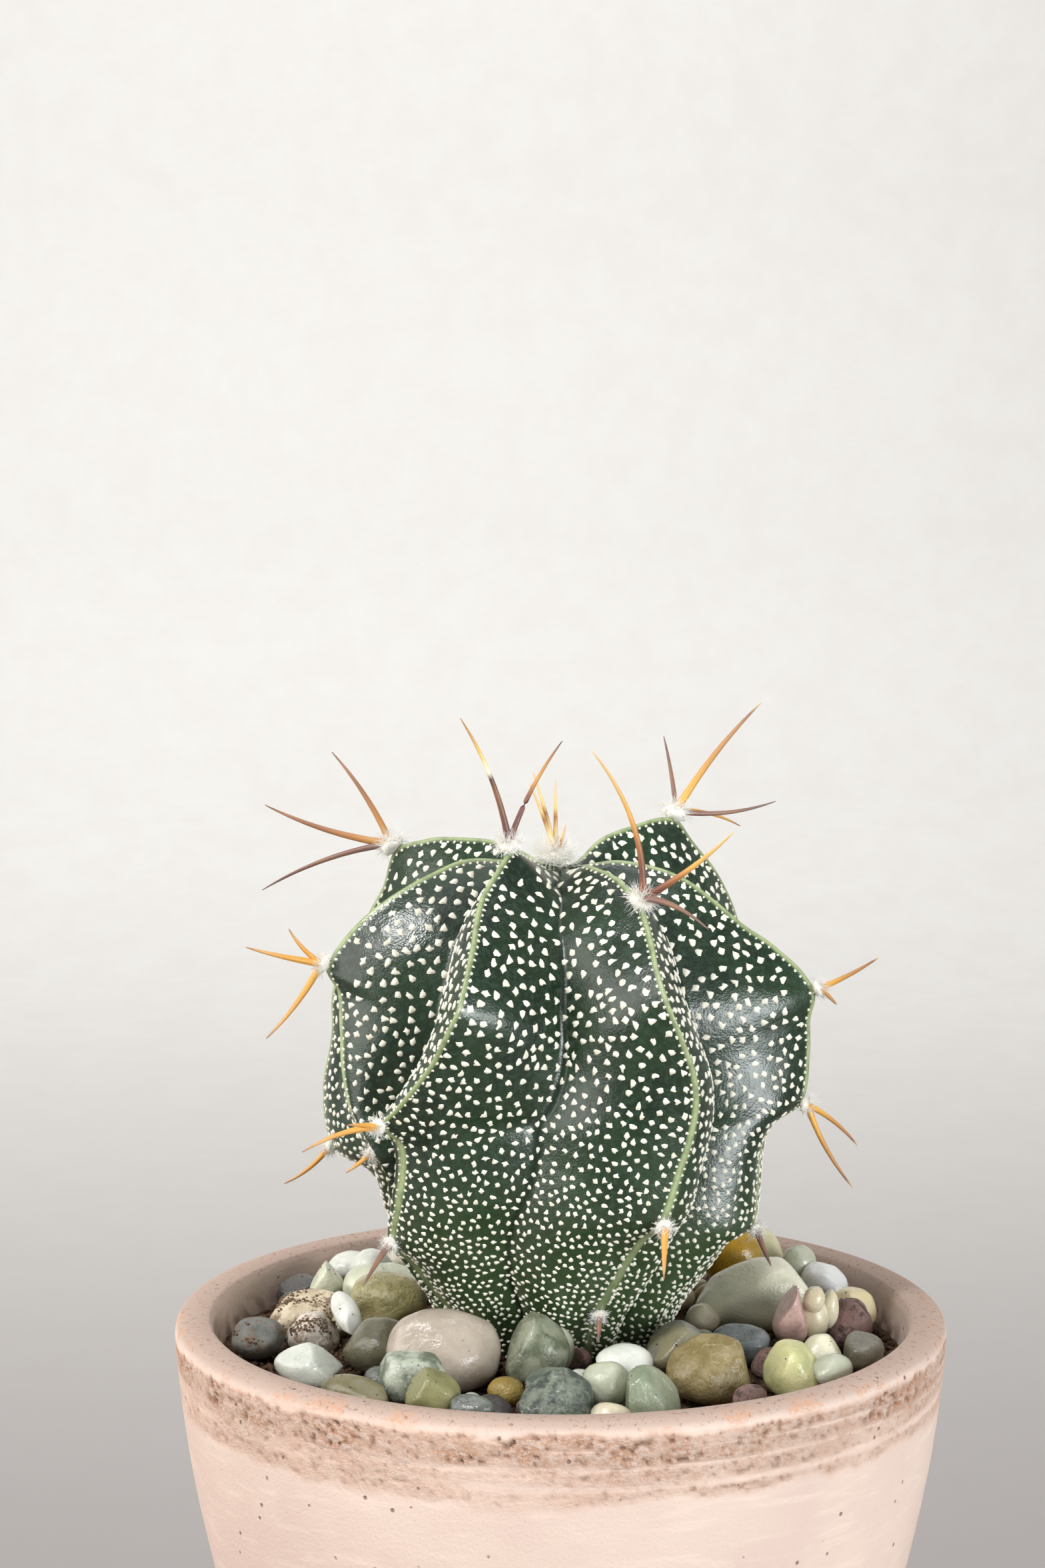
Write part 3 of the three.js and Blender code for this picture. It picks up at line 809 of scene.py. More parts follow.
AREOLES = (
    Areole("front_left_top", "front_left", 21.5, 1.5, 1.0, (
        Spine(-69, 68, 15.5, -12, 0.74, Tone.BANDED), Spine(108, 61, 13, -10, 0.66, Tone.PLUM))),
    Areole("front_left_middle", "front_left", 92.3, 1.25, 0.5, (
        Spine(-42, 12, 4.6, -4, 0.7, Tone.HONEY), Spine(-57, -10, 9.6, -14, 0.74, Tone.HONEY))),
    Areole("front_left_low", "front_left", 123.4, 1.2, 0.4, (
        Spine(-33, -36, 6.2, -4, 0.74, Tone.DUSKY),)),
    Areole("front_right_top", "front_right", 37, 1.6, 1.0, (
        Spine(-63, 69, 18, -24, 0.78, Tone.FLAME), Spine(67, 37, 13.4, 8, 0.84, Tone.FLAME),
        Spine(37, -10, 11.5, -16, 0.76, Tone.DUSKY))),
    Areole("front_right_middle", "front_right", 113.9, 1.25, 0.5, (
        Spine(-4, -58, 5.8, -8, 0.8, Tone.HONEY),)),
    Areole("front_right_low", "front_right", 142.4, 1, 0.4, (
        Spine(-3, -41, 3.4, 0, 0.7, Tone.DUSKY),)),
    Areole("right_top", "right", 68.3, 1.3, 0.6, (
        Spine(72, 30, 7.8, 6, 0.66, Tone.AMBER), Spine(38, -30, 3.2, 0, 0.6, Tone.AMBER))),
    Areole("right_middle", "right", 92.9, 1.25, 0.6, (
        Spine(70, -36, 7.4, -14, 0.66, Tone.AMBER), Spine(68, -59, 10.8, 12, 0.7, Tone.AMBER))),
    Areole("right_low", "right", 122, 1.15, 0.5, (
        Spine(24, -43, 4.8, 6, 0.72, Tone.DUSKY),)),
    Areole("back_right_top", "back_right", 30.8, 1.7, 1.0, (
        Spine(101, 51, 16.4, -8, 0.88, Tone.AMBER), Spine(-155, 69, 9.2, -8, 0.6, Tone.DUSKY),
        Spine(108, 3, 12.7, 14, 0.66, Tone.DUSKY), Spine(135, -14, 11.8, -12, 0.62, Tone.HONEY))),
    Areole("back_right_middle", "back_right", 90, 1.25, 0.6, (
        Spine(118, 18, 9, 8, 0.68, Tone.AMBER), Spine(142, -28, 8.4, -10, 0.66, Tone.AMBER))),
    Areole("back_right_low", "back_right", 121.5, 1.15, 0.4, (
        Spine(134, -30, 5, 4, 0.68, Tone.DUSKY),)),
    Areole("back_top", "back", 54.4, 1.45, 0.9, (
        Spine(160, 10, 11, 8, 0.74, Tone.AMBER), Spine(204, -12, 10.4, -10, 0.7, Tone.FLAME),
        Spine(178, -42, 8, -8, 0.66, Tone.DUSKY))),
    Areole("back_middle", "back", 92, 1.25, 0.6, (
        Spine(172, -8, 8.4, -12, 0.7, Tone.HONEY), Spine(196, -40, 6.8, 6, 0.64, Tone.AMBER))),
    Areole("back_left_top", "back_left", 43.5, 1.7, 1.0, (
        Spine(-113, 54, 13.2, -10, 0.76, Tone.TAN), Spine(-98, 16, 15.9, 10, 0.9, Tone.TAN),
        Spine(-90, -20, 16.4, -12, 0.72, Tone.DUSKY))),
    Areole("back_left_middle", "back_left", 108.8, 1.2, 0.4, (
        Spine(-79, -38, 6.8, 16, 0.62, Tone.HONEY),)),
    Areole("left_top", "left", 61.9, 1.35, 0.6, (
        Spine(-74, 48, 5.6, 14, 0.68, Tone.HONEY), Spine(-70, 15, 9.2, 4, 0.8, Tone.HONEY),
        Spine(-64, -50, 10.6, 10, 0.78, Tone.HONEY))),
    Areole("left_middle", "left", 103.7, 1.1, 0.4, (
        Spine(-70, -34, 3.4, 4, 0.6, Tone.HONEY),)),
)


YOUNG_SPINES = (
    Spine(-90, 75, 10.4, -4, 0.66, Tone.IVORY), Spine(-60, 68, 9.4, -6, 0.6, Tone.IVORY),
    Spine(-178, 84, 9.2, 0, 0.62, Tone.IVORY), Spine(40, 66, 4.4, 6, 0.5, Tone.IVORY),
)


@dataclass
class CactusBody:
    """The ribbed body. Its sizes are in mm."""

    rows: int = 224
    face_steps: int = 22
    edge_half: float = 0.5
    edge_rise: float = 0.16
    edge_columns: int = 4
    edge_fade: tuple[float, float] = (84.0, 100.0)
    # the painted shade in the furrows' bottoms: its half width in mm and its columns each side
    crease_half: float = 0.7
    crease_columns: int = 3
    swell: tuple[float, float] = (0.6, 2.4)
    unevenness: float = 0.16

    def __post_init__(self) -> None:
        """Measures the crest and furrow tables from the heart."""
        self.crests = [self._from_heart(rib.crest) for rib in RIBS]
        self.furrow = self._from_heart(FURROW)
        self.angles = np.linspace(0.0, 180.0, self.rows)[1:-1]
        self.grid = np.stack([self._ring(angle) for angle in self.angles])
        self._roughen()

    @staticmethod
    def _from_heart(rows: tuple[tuple[float, ...], ...]) -> np.ndarray:
        """Turns (radius, height, ...) rows into [angle, distance, ...] seen from the heart.

        Args:
            rows: The measures of a crest or of the furrow.

        Returns:
            The table, with ends added for the furrow or for a crest.
        """
        table = []
        for radius, height, *rest in rows:
            up = height - HEART
            table.append([math.degrees(math.atan2(radius, up)), math.hypot(radius, up), *rest])
        if table[0][0] > 0:
            table.insert(0, [0.0, FURROW[0][1] - HEART, *table[0][2:]])
            table.append([180.0, HEART - FURROW[-1][1], *table[-1][2:]])
        return np.array(table)

    @staticmethod
    def _polar(distance: float, angle: float, compass: float) -> np.ndarray:
        """Gives the point a distance from the heart, in mm from the frame's origin."""
        out = bearing(compass) * distance * math.sin(math.radians(angle))
        return out + np.array([0.0, 0.0, HEART + distance * math.cos(math.radians(angle))])

    def crest_point(self, rib: int, angle: float) -> np.ndarray:
        """Gives the crest of a rib at an angle down from the crown."""
        distance, compass = read_smooth(self.crests[rib], angle)
        return self._polar(distance, angle, compass)

    def _ring(self, angle: float) -> np.ndarray:
        """Gives the ring of points at an angle down from the crown.

        Args:
            angle: Degrees down from the crown.

        Returns:
            One row per point, from the first rib's crest round to the last furrow's far side.
        """
        furrow_distance = read_smooth(self.furrow, angle)[0]
        blend = float(smoothstep(20.0, 100.0, angle))
        swell = self.swell[0] + (self.swell[1] - self.swell[0]) * blend
        swell *= math.sin(math.radians(angle)) ** 0.5
        heart = np.array([0.0, 0.0, HEART])
        ring = []
        for index in range(len(RIBS)):
            after = (index + 1) % len(RIBS)
            compass = read_smooth(self.crests[index], angle)[1]
            turn = (read_smooth(self.crests[after], angle)[1] - compass) % 360.0
            low = self._polar(furrow_distance, angle, compass + turn / 2.0)
            crests = (self.crest_point(index, angle), self.crest_point(after, angle))
            for side, crest in enumerate(crests):
                shares = self._shares(float(np.linalg.norm(low - crest)))
                points = crest + (low - crest) * shares[:, None] - heart
                reach = np.linalg.norm(points, axis=1)
                pushed = reach + swell * np.sin(np.pi * shares)
                pushed += self._edge_lift(shares * np.linalg.norm(low - crest), angle)
                points = points * (pushed / reach)[:, None] + heart
                ring.append(points[:-1] if side == 0 else points[:0:-1])
        return np.concatenate(ring)

    def _shares(self, length: float) -> np.ndarray:
        """Spaces points across a face of a length: close together at the crest's pale edge.

        Args:
            length: The width of the face in mm.

        Returns:
            Shares of the width, from 0 to 1.
        """
        near = np.array([0.0, 0.28, 0.5, 0.75]) / max(length, 3.0)
        rest = np.linspace(near[-1], 1.0, self.face_steps - 2)[1:]
        return np.concatenate([near, rest])

    def _edge_lift(self, offsets: np.ndarray, angle: float) -> np.ndarray:
        """Raises the narrow horny edge on each crest."""
        lift = self.edge_rise * (1.0 - smoothstep(0.2, self.edge_half + 0.15, offsets))
        return lift * math.sin(math.radians(angle)) ** 0.5

    def _roughen(self) -> None:
        """Makes the faces slightly uneven, as grown skin is."""
        flat = self.grid.reshape(-1, 3)
        lumps = np.array([ripple(p, 7.0) + 0.4 * ripple(p, 2.6, 9.0) for p in flat])
        out = flat - np.array([0.0, 0.0, HEART])
        out /= np.linalg.norm(out, axis=1)[:, None]
        flat += out * (lumps * self.unevenness)[:, None]
        self.grid = flat.reshape(self.grid.shape)

    @property
    def per_rib(self) -> int:
        """The number of columns from one crest to the next."""
        return self.grid.shape[1] // len(RIBS)

    def _edge_paint(self) -> np.ndarray:
        """Gives how strongly each point shows the crest's pale edge.

        Returns:
            The strength, from 0 to 1.
        """
        columns = self.grid.shape[1]
        paint = np.zeros(self.grid.shape[:2])
        for index in range(len(RIBS)):
            crest = self.grid[:, index * self.per_rib]
            for step in range(-self.edge_columns, self.edge_columns + 1):
                column = (index * self.per_rib + step) % columns
                away = np.linalg.norm(self.grid[:, column] - crest, axis=1)
                strength = 1.0 - smoothstep(self.edge_half * 0.6, self.edge_half * 1.35, away)
                strength *= 0.45 + 0.55 * smoothstep(*self.edge_fade, crest[:, 2])
                paint[:, column] = np.maximum(paint[:, column], strength)
        return paint

    def _crease_paint(self) -> np.ndarray:
        """Gives how near each point is to the bottom of a furrow.

        Returns:
            The nearness, from 0 to 1, which darkens the furrows' bottoms as painted shade.
        """
        paint = np.zeros(self.grid.shape[:2])
        for index in range(len(RIBS)):
            bottom = index * self.per_rib + self.per_rib // 2
            for step in range(-self.crease_columns, self.crease_columns + 1):
                away = np.linalg.norm(self.grid[:, bottom + step] - self.grid[:, bottom], axis=1)
                paint[:, bottom + step] = 1.0 - smoothstep(0.1, self.crease_half, away)
        return paint

    def build(self) -> bpy.types.Object:
        """Builds the skin, which stands for the plain CAD body.

        Returns:
            The new object.
        """
        rows, columns, _ = self.grid.shape
        shell = Shell()
        top = np.array([[0.0, 0.0, FURROW[0][1]]])
        foot = np.array([[0.0, 0.0, FURROW[-1][1]]])
        points = np.concatenate([top, self.grid.reshape(-1, 3), foot])
        faces = (grid_faces(rows, columns) + 1).tolist()
        last = 1 + (rows - 1) * columns
        for column in range(columns):
            after = (column + 1) % columns
            faces.append([0, 1 + column, 1 + after])
            faces.append([last + column, len(points) - 1, last + after])
        edge = np.concatenate([[0.0], self._edge_paint().ravel(), [0.0]])
        # painted shade for the bottoms of the furrows
        crease = np.concatenate([[0.0], self._crease_paint().ravel(), [0.0]])
        shell.add(points, faces, edge=edge, crease=crease)
        piece = shell.build("cactus_skin", WaxySkin().material())
        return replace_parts(piece, "cactus_body")


@dataclass
class Flecks:
    """The white flecks: chips of wool scattered over the skin. Sizes are in mm.

    Spacing and size are given at three levels: the upper faces, the middle and the foot.
    """

    body: CactusBody
    tries: int = 60000
    levels: Triple = (122.0, 102.0, 80.0)
    spacing: Triple = (1.32, 0.98, 0.66)
    size: Triple = (0.57, 0.41, 0.29)
    lift: float = 0.13
    lowest: float = 76.0
    crest_bare: float = 0.5
    crest_more: float = 0.65
    crest_levels: tuple[float, float] = (86.0, 102.0)
    bare_upper: float = 3.6
    bare_lower: float = 1.9
    upper_end: float = 70.0
    cell_side: float = 1.7
    row_gap: float = 0.72
    row_size: tuple[float, float] = (0.2, 0.3)
    seed: int = 5

    def _measure(self, table: Triple, height: float) -> float:
        """Reads a size that goes from the upper faces past the middle to the foot."""
        return float(np.interp(height, self.levels[::-1], table[::-1]))

    @staticmethod
    def _bare(point: np.ndarray, seats: list[tuple[np.ndarray, float]]) -> bool:
        """Tells whether a point is too near a cushion to carry a fleck."""
        return any(np.linalg.norm(point - seat) < reach for seat, reach in seats)

    def _scatter(self, rng: random.Random) -> list[Spot]:
        """Picks where flecks sit.

        Args:
            rng: The seeded source of chance.

        Returns:
            The middle, the outward direction, the direction down the rib and the size of each.
        """
        grid = self.body.grid
        columns = grid.shape[1]
        down = grid[1:] - grid[:-1]
        across = np.roll(grid, -1, axis=1) - grid
        areas = np.linalg.norm(np.cross(across[:-1], down), axis=2)
        heights = grid[:-1, :, 2]
        dense = [1 / gap**2 for gap in self.spacing[::-1]]
        wanted = np.interp(heights, self.levels[::-1], dense)
        chance = (areas * wanted).ravel()
        chance[(heights < self.lowest).ravel()] = 0.0
        picks = np.random.default_rng(self.seed).choice(
            chance.size, self.tries, p=chance / chance.sum()
        )
        seats = self._seats()
        found: list[Spot] = []
        taken: dict[tuple[int, ...], list[np.ndarray]] = {}
        per_rib = self.body.per_rib
        for pick in picks:
            row, column = divmod(int(pick), columns)
            f, g = rng.random(), rng.random()
            after = (column + 1) % columns
            point = (grid[row, column] * (1 - f) + grid[row, after] * f) * (1 - g)
            point = point + (grid[row + 1, column] * (1 - f) + grid[row + 1, after] * f) * g
            rib = round(column / per_rib) % len(RIBS)
            crest = grid[row, rib * per_rib]
            share = float(smoothstep(*self.crest_levels, point[2]))
            clear = self.crest_bare + self.crest_more * share
            if np.linalg.norm(point - crest) < clear or self._bare(point, seats):
                continue
            gap = self._measure(self.spacing, point[2]) * rng.uniform(0.86, 1.1)
            cell = tuple(int(v // self.cell_side) for v in point)
            near = (
                other
                for steps in product((-1, 0, 1), repeat=3)
                for other in taken.get(tuple(c + step for c, step in zip(cell, steps)), ())
            )
            if any(np.linalg.norm(point - other) < gap for other in near):
                continue
            taken.setdefault(cell, []).append(point)
            out = -unit(np.cross(across[row, column], down[row, column]))
            along = unit(down[row, column])
            found.append((point, out, along, self._measure(self.size, point[2])))
        return found

    def _seats(self) -> list[tuple[np.ndarray, float]]:
        """Lists the bare patches round the cushions: wide round the upper ones.

        Returns:
            The middle and the radius of each patch.
        """
        names = [rib.name for rib in RIBS]
        seats = []
        for areole in AREOLES:
            seat = self.body.crest_point(names.index(areole.rib), areole.down)
            upper = areole.down < self.upper_end
            seats.append((seat, self.bare_upper if upper else self.bare_lower))
        return seats

    def _edge_row(self, rng: random.Random) -> list[Spot]:
        """Lines both sides of every crest with small flecks.

        Args:
            rng: The seeded source of chance.

        Returns:
            Where each fleck sits.
        """
        found = []
        grid = self.body.grid
        columns = grid.shape[1]
        for rib in range(len(RIBS)):
            for side in (-1, 1):
                column = (rib * self.body.per_rib + side * 3) % columns
                line = grid[:, column]
                inner = grid[:, (rib * self.body.per_rib + side * 5) % columns]
                since = 0.0
                for row in range(8, len(line) - 1):
                    step = line[row + 1] - line[row]
                    since += float(np.linalg.norm(step))
                    if since < self.row_gap or line[row][2] < self.lowest:
                        continue
                    since = rng.uniform(-0.2, 0.25)
                    along = unit(step)
                    out = unit(np.cross(along, inner[row] - line[row]) * side)
                    found.append((line[row], out, along, rng.uniform(*self.row_size)))
        return found

    def _chip(self, spot: Spot, corners: int, rng: random.Random) -> np.ndarray:
        """Shapes one fleck: a raised chip with three or four teeth, some with a notch.

        Args:
            spot: Where it sits.
            corners: How many corners its rim has.
            rng: The seeded source of chance.

        Returns:
            The points of its rim, then of its shoulder, then its top.
        """
        middle, out, along, size = spot
        across = np.cross(out, along)
        teeth, first = rng.choice((3, 3, 4)), rng.uniform(-0.5, 0.5)
        notch = rng.randrange(corners) if rng.random() < 0.35 else -1
        wide = rng.uniform(0.8, 1.25)
        rim, shoulder = [], []
        for corner in range(corners):
            angle = 2 * math.pi * (corner + rng.uniform(-0.2, 0.2)) / corners
            tooth = max(0.0, math.cos(teeth * (angle - first)))
            reach = size * (0.74 + 0.34 * tooth) * rng.uniform(0.84, 1.14)
            reach *= 0.5 if corner == notch else 1.0
            spoke = across * (math.cos(angle) * wide) + along * (math.sin(angle) / wide)
            rim.append(middle + spoke * reach - out * 0.05)
            shoulder.append(middle + spoke * reach * 0.78 + out * self.lift * 0.7)
        return np.array([*rim, *shoulder, middle + out * self.lift])

    def build(self) -> bpy.types.Object:
        """Builds all the flecks as one piece.

        Returns:
            The new object.
        """
        rng = random.Random(self.seed)
        shell = Shell()
        groups = ((self._scatter(rng), 9), (self._edge_row(rng), 6))
        for spots, corners in groups:
            faces = []
            for i in range(corners):
                j = (i + 1) % corners
                faces.append([i, j, corners + j, corners + i])
                faces.append([corners + i, corners + j, 2 * corners])
            for spot in spots:
                shell.add(self._chip(spot, corners, rng), faces)
            log.info("%d flecks with %d corners", len(spots), corners)
        piece = shell.build("skin_flecks", WhiteFleck().material())
        return piece


@dataclass
class Cushions:
    """The woolly cushions and their spines. Sizes are in mm."""

    body: CactusBody
    clearance: float = 0.45
    steps: int = 18
    sides: int = 10
    tip: float = 0.05
    pad_rings: int = 9
    pad_sides: int = 14
    pad_height: float = 0.62
    fibre: float = 0.036
    fibre_steps: int = 3
    fibre_lean: float = 0.55
    crown_seat: Triple = (-0.6, 0.0, 133.4)
    crown_reach: float = 2.0
    crown_fibres: int = 760
    crown_length: float = 2.6
    seed: int = 11

    def seat(self, areole: Areole) -> tuple[np.ndarray, np.ndarray]:
        """Gives the middle of a cushion and its outward direction.

        Args:
            areole: The cushion.

        Returns:
            The middle and the direction.
        """
        names = [rib.name for rib in RIBS]
        crest = self.body.crest_point(names.index(areole.rib), areole.down)
        out = unit(crest - np.array([0.0, 0.0, HEART]))
        return crest + out * (self.clearance + areole.pad * 0.35), out

    def add_spine(self, shell: Shell, seat: np.ndarray, spine: Spine) -> None:
        """Adds one tapered, curved spine with its colours painted along it.

        Args:
            shell: The piece it goes into.
            seat: The middle of its cushion.
            spine: Its sizes and tone.
        """
        tip = seat + bearing(spine.compass, spine.rise) * spine.length
        elbow = seat + bearing(spine.compass, spine.rise - spine.curl) * spine.length / 2.0
        points, tones = [], []
        for step in range(self.steps + 1):
            f = step / self.steps
            middle = seat * (1 - f) ** 2 + elbow * 2 * f * (1 - f) + tip * f**2
            ahead = unit((elbow - seat) * (1 - f) + (tip - elbow) * f)
            side, up = beside(ahead, (0, 0, 1) if abs(ahead[2]) < 0.9 else (1, 0, 0))
            radius = spine.thickness * 0.54 * (1 - f) ** 0.72 + self.tip * f**0.5
            radius *= 1.0 + 0.22 * math.exp(-f * 14.0)
            for turn in turns(self.sides):
                spoke = side * math.cos(turn) - up * math.sin(turn)
                wobble = 1.0 + 0.06 * ripple(middle + spoke * 2.0, 1.4)
                points.append(middle + spoke * radius * wobble)
                tones.append(spine.tone.at(f))
        faces = grid_faces(self.steps + 1, self.sides)[:, ::-1].tolist()
        points.append(tip)
        tones.append(spine.tone.at(1.0))
        last = self.steps * self.sides
        for k in range(self.sides):
            faces.append([last + k, last + (k + 1) % self.sides, len(points) - 1])
        shell.add(points, faces, tone=tones)

    def add_wool(
        self, shell: Shell, seat: np.ndarray, out: np.ndarray, reach: float, count: int,
        length: float, rng: random.Random,
    ) -> None:
        """Adds a soft pad and the fibres that stand on it.

        Args:
            shell: The piece they go into.
            seat: The middle of the pad.
            out: The direction it faces.
            reach: The pad's radius.
            count: How many fibres.
            length: The longest fibre.
            rng: The seeded source of chance.
        """
        side, up = beside(out, (0.3, 0.5, 0.8))
        points = []
        for ring in range(self.pad_rings):
            slope = math.pi * (ring + 0.5) / self.pad_rings
            for turn in turns(self.pad_sides):
                flat = side * math.cos(turn) + up * math.sin(turn)
                spoke = out * math.cos(slope) * self.pad_height + flat * math.sin(slope)
                points.append(seat + spoke * reach * (0.8 + 0.25 * ripple(seat + spoke * 3, 1.1)))
        shell.add(points, grid_faces(self.pad_rings, self.pad_sides))
        for _ in range(count):
            slope, turn = math.acos(rng.uniform(-0.15, 1.0)), rng.uniform(0, 2 * math.pi)
            flat = side * math.cos(turn) + up * math.sin(turn)
            spoke = out * math.cos(slope) + flat * math.sin(slope)
            root = seat + spoke * reach * 0.6
            lean = np.array([rng.gauss(0, self.fibre_lean) for _ in range(3)])
            self._fibre(shell, root, spoke + lean, length * rng.uniform(0.35, 1.0), rng)

    def _fibre(
        self, shell: Shell, root: np.ndarray, ahead: np.ndarray, length: float, rng: random.Random
    ) -> None:
        """Adds one fine curled fibre with three sides.

        Args:
            shell: The piece it goes into.
            root: Where it starts.
            ahead: The way it starts out.
            length: Its length.
            rng: The seeded source of chance.
        """
        ahead = unit(ahead)
        bend = np.cross(ahead, [rng.uniform(-1, 1) for _ in range(3)])
        side, up = beside(ahead, (0.2, 0.9, 0.4))
        points = []
        for step in range(self.fibre_steps + 1):
            f = step / self.fibre_steps
            middle = root + ahead * length * f + bend * length * 0.35 * f * f
            radius = self.fibre * (1.0 - 0.7 * f)
            for turn in turns(3):
                points.append(middle + (side * math.cos(turn) + up * math.sin(turn)) * radius)
        shell.add(points, grid_faces(self.fibre_steps + 1, 3)[:, ::-1])

    def build(self) -> list[bpy.types.Object]:
        """Builds every cushion's spines and wool.

        Returns:
            The new objects.
        """
        rng = random.Random(self.seed)
        horn, wool = Horn().material(), CreamWool().material()
        pieces = []
        for areole in AREOLES:
            seat, out = self.seat(areole)
            spines, tuft = Shell(), Shell()
            for spine in areole.spines:
                self.add_spine(spines, seat, spine)
            count = int(90 + 330 * areole.wool)
            reach = areole.pad * (0.82 + 0.2 * areole.wool)
            self.add_wool(tuft, seat - out * 0.3, out, reach, count, 0.7 + areole.wool, rng)
            made = spines.build(f"spines_{areole.name}", horn)
            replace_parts(made, f"areole_{areole.name}")
            pieces += [made, tuft.build(f"wool_{areole.name}", wool)]
        pieces += self._crown(horn, wool, rng)
        return pieces

    def _crown(
        self, horn: bpy.types.Material, wool: bpy.types.Material, rng: random.Random
    ) -> list[bpy.types.Object]:
        """Builds the tuft in the crown with its young spines.

        Args:
            horn: The spines' finish.
            wool: The wool's finish.
            rng: The seeded source of chance.

        Returns:
            The new objects.
        """
        seat, up = np.array(self.crown_seat), np.array([0.0, 0.0, 1.0])
        spines, tuft = Shell(), Shell()
        for spine in YOUNG_SPINES:
            self.add_spine(spines, seat, spine)
        self.add_wool(
            tuft, seat, up, self.crown_reach, self.crown_fibres, self.crown_length, rng
        )
        made = spines.build("spines_crown", horn)
        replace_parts(made, "crown_wool")
        return [made, tuft.build("wool_crown", wool)]


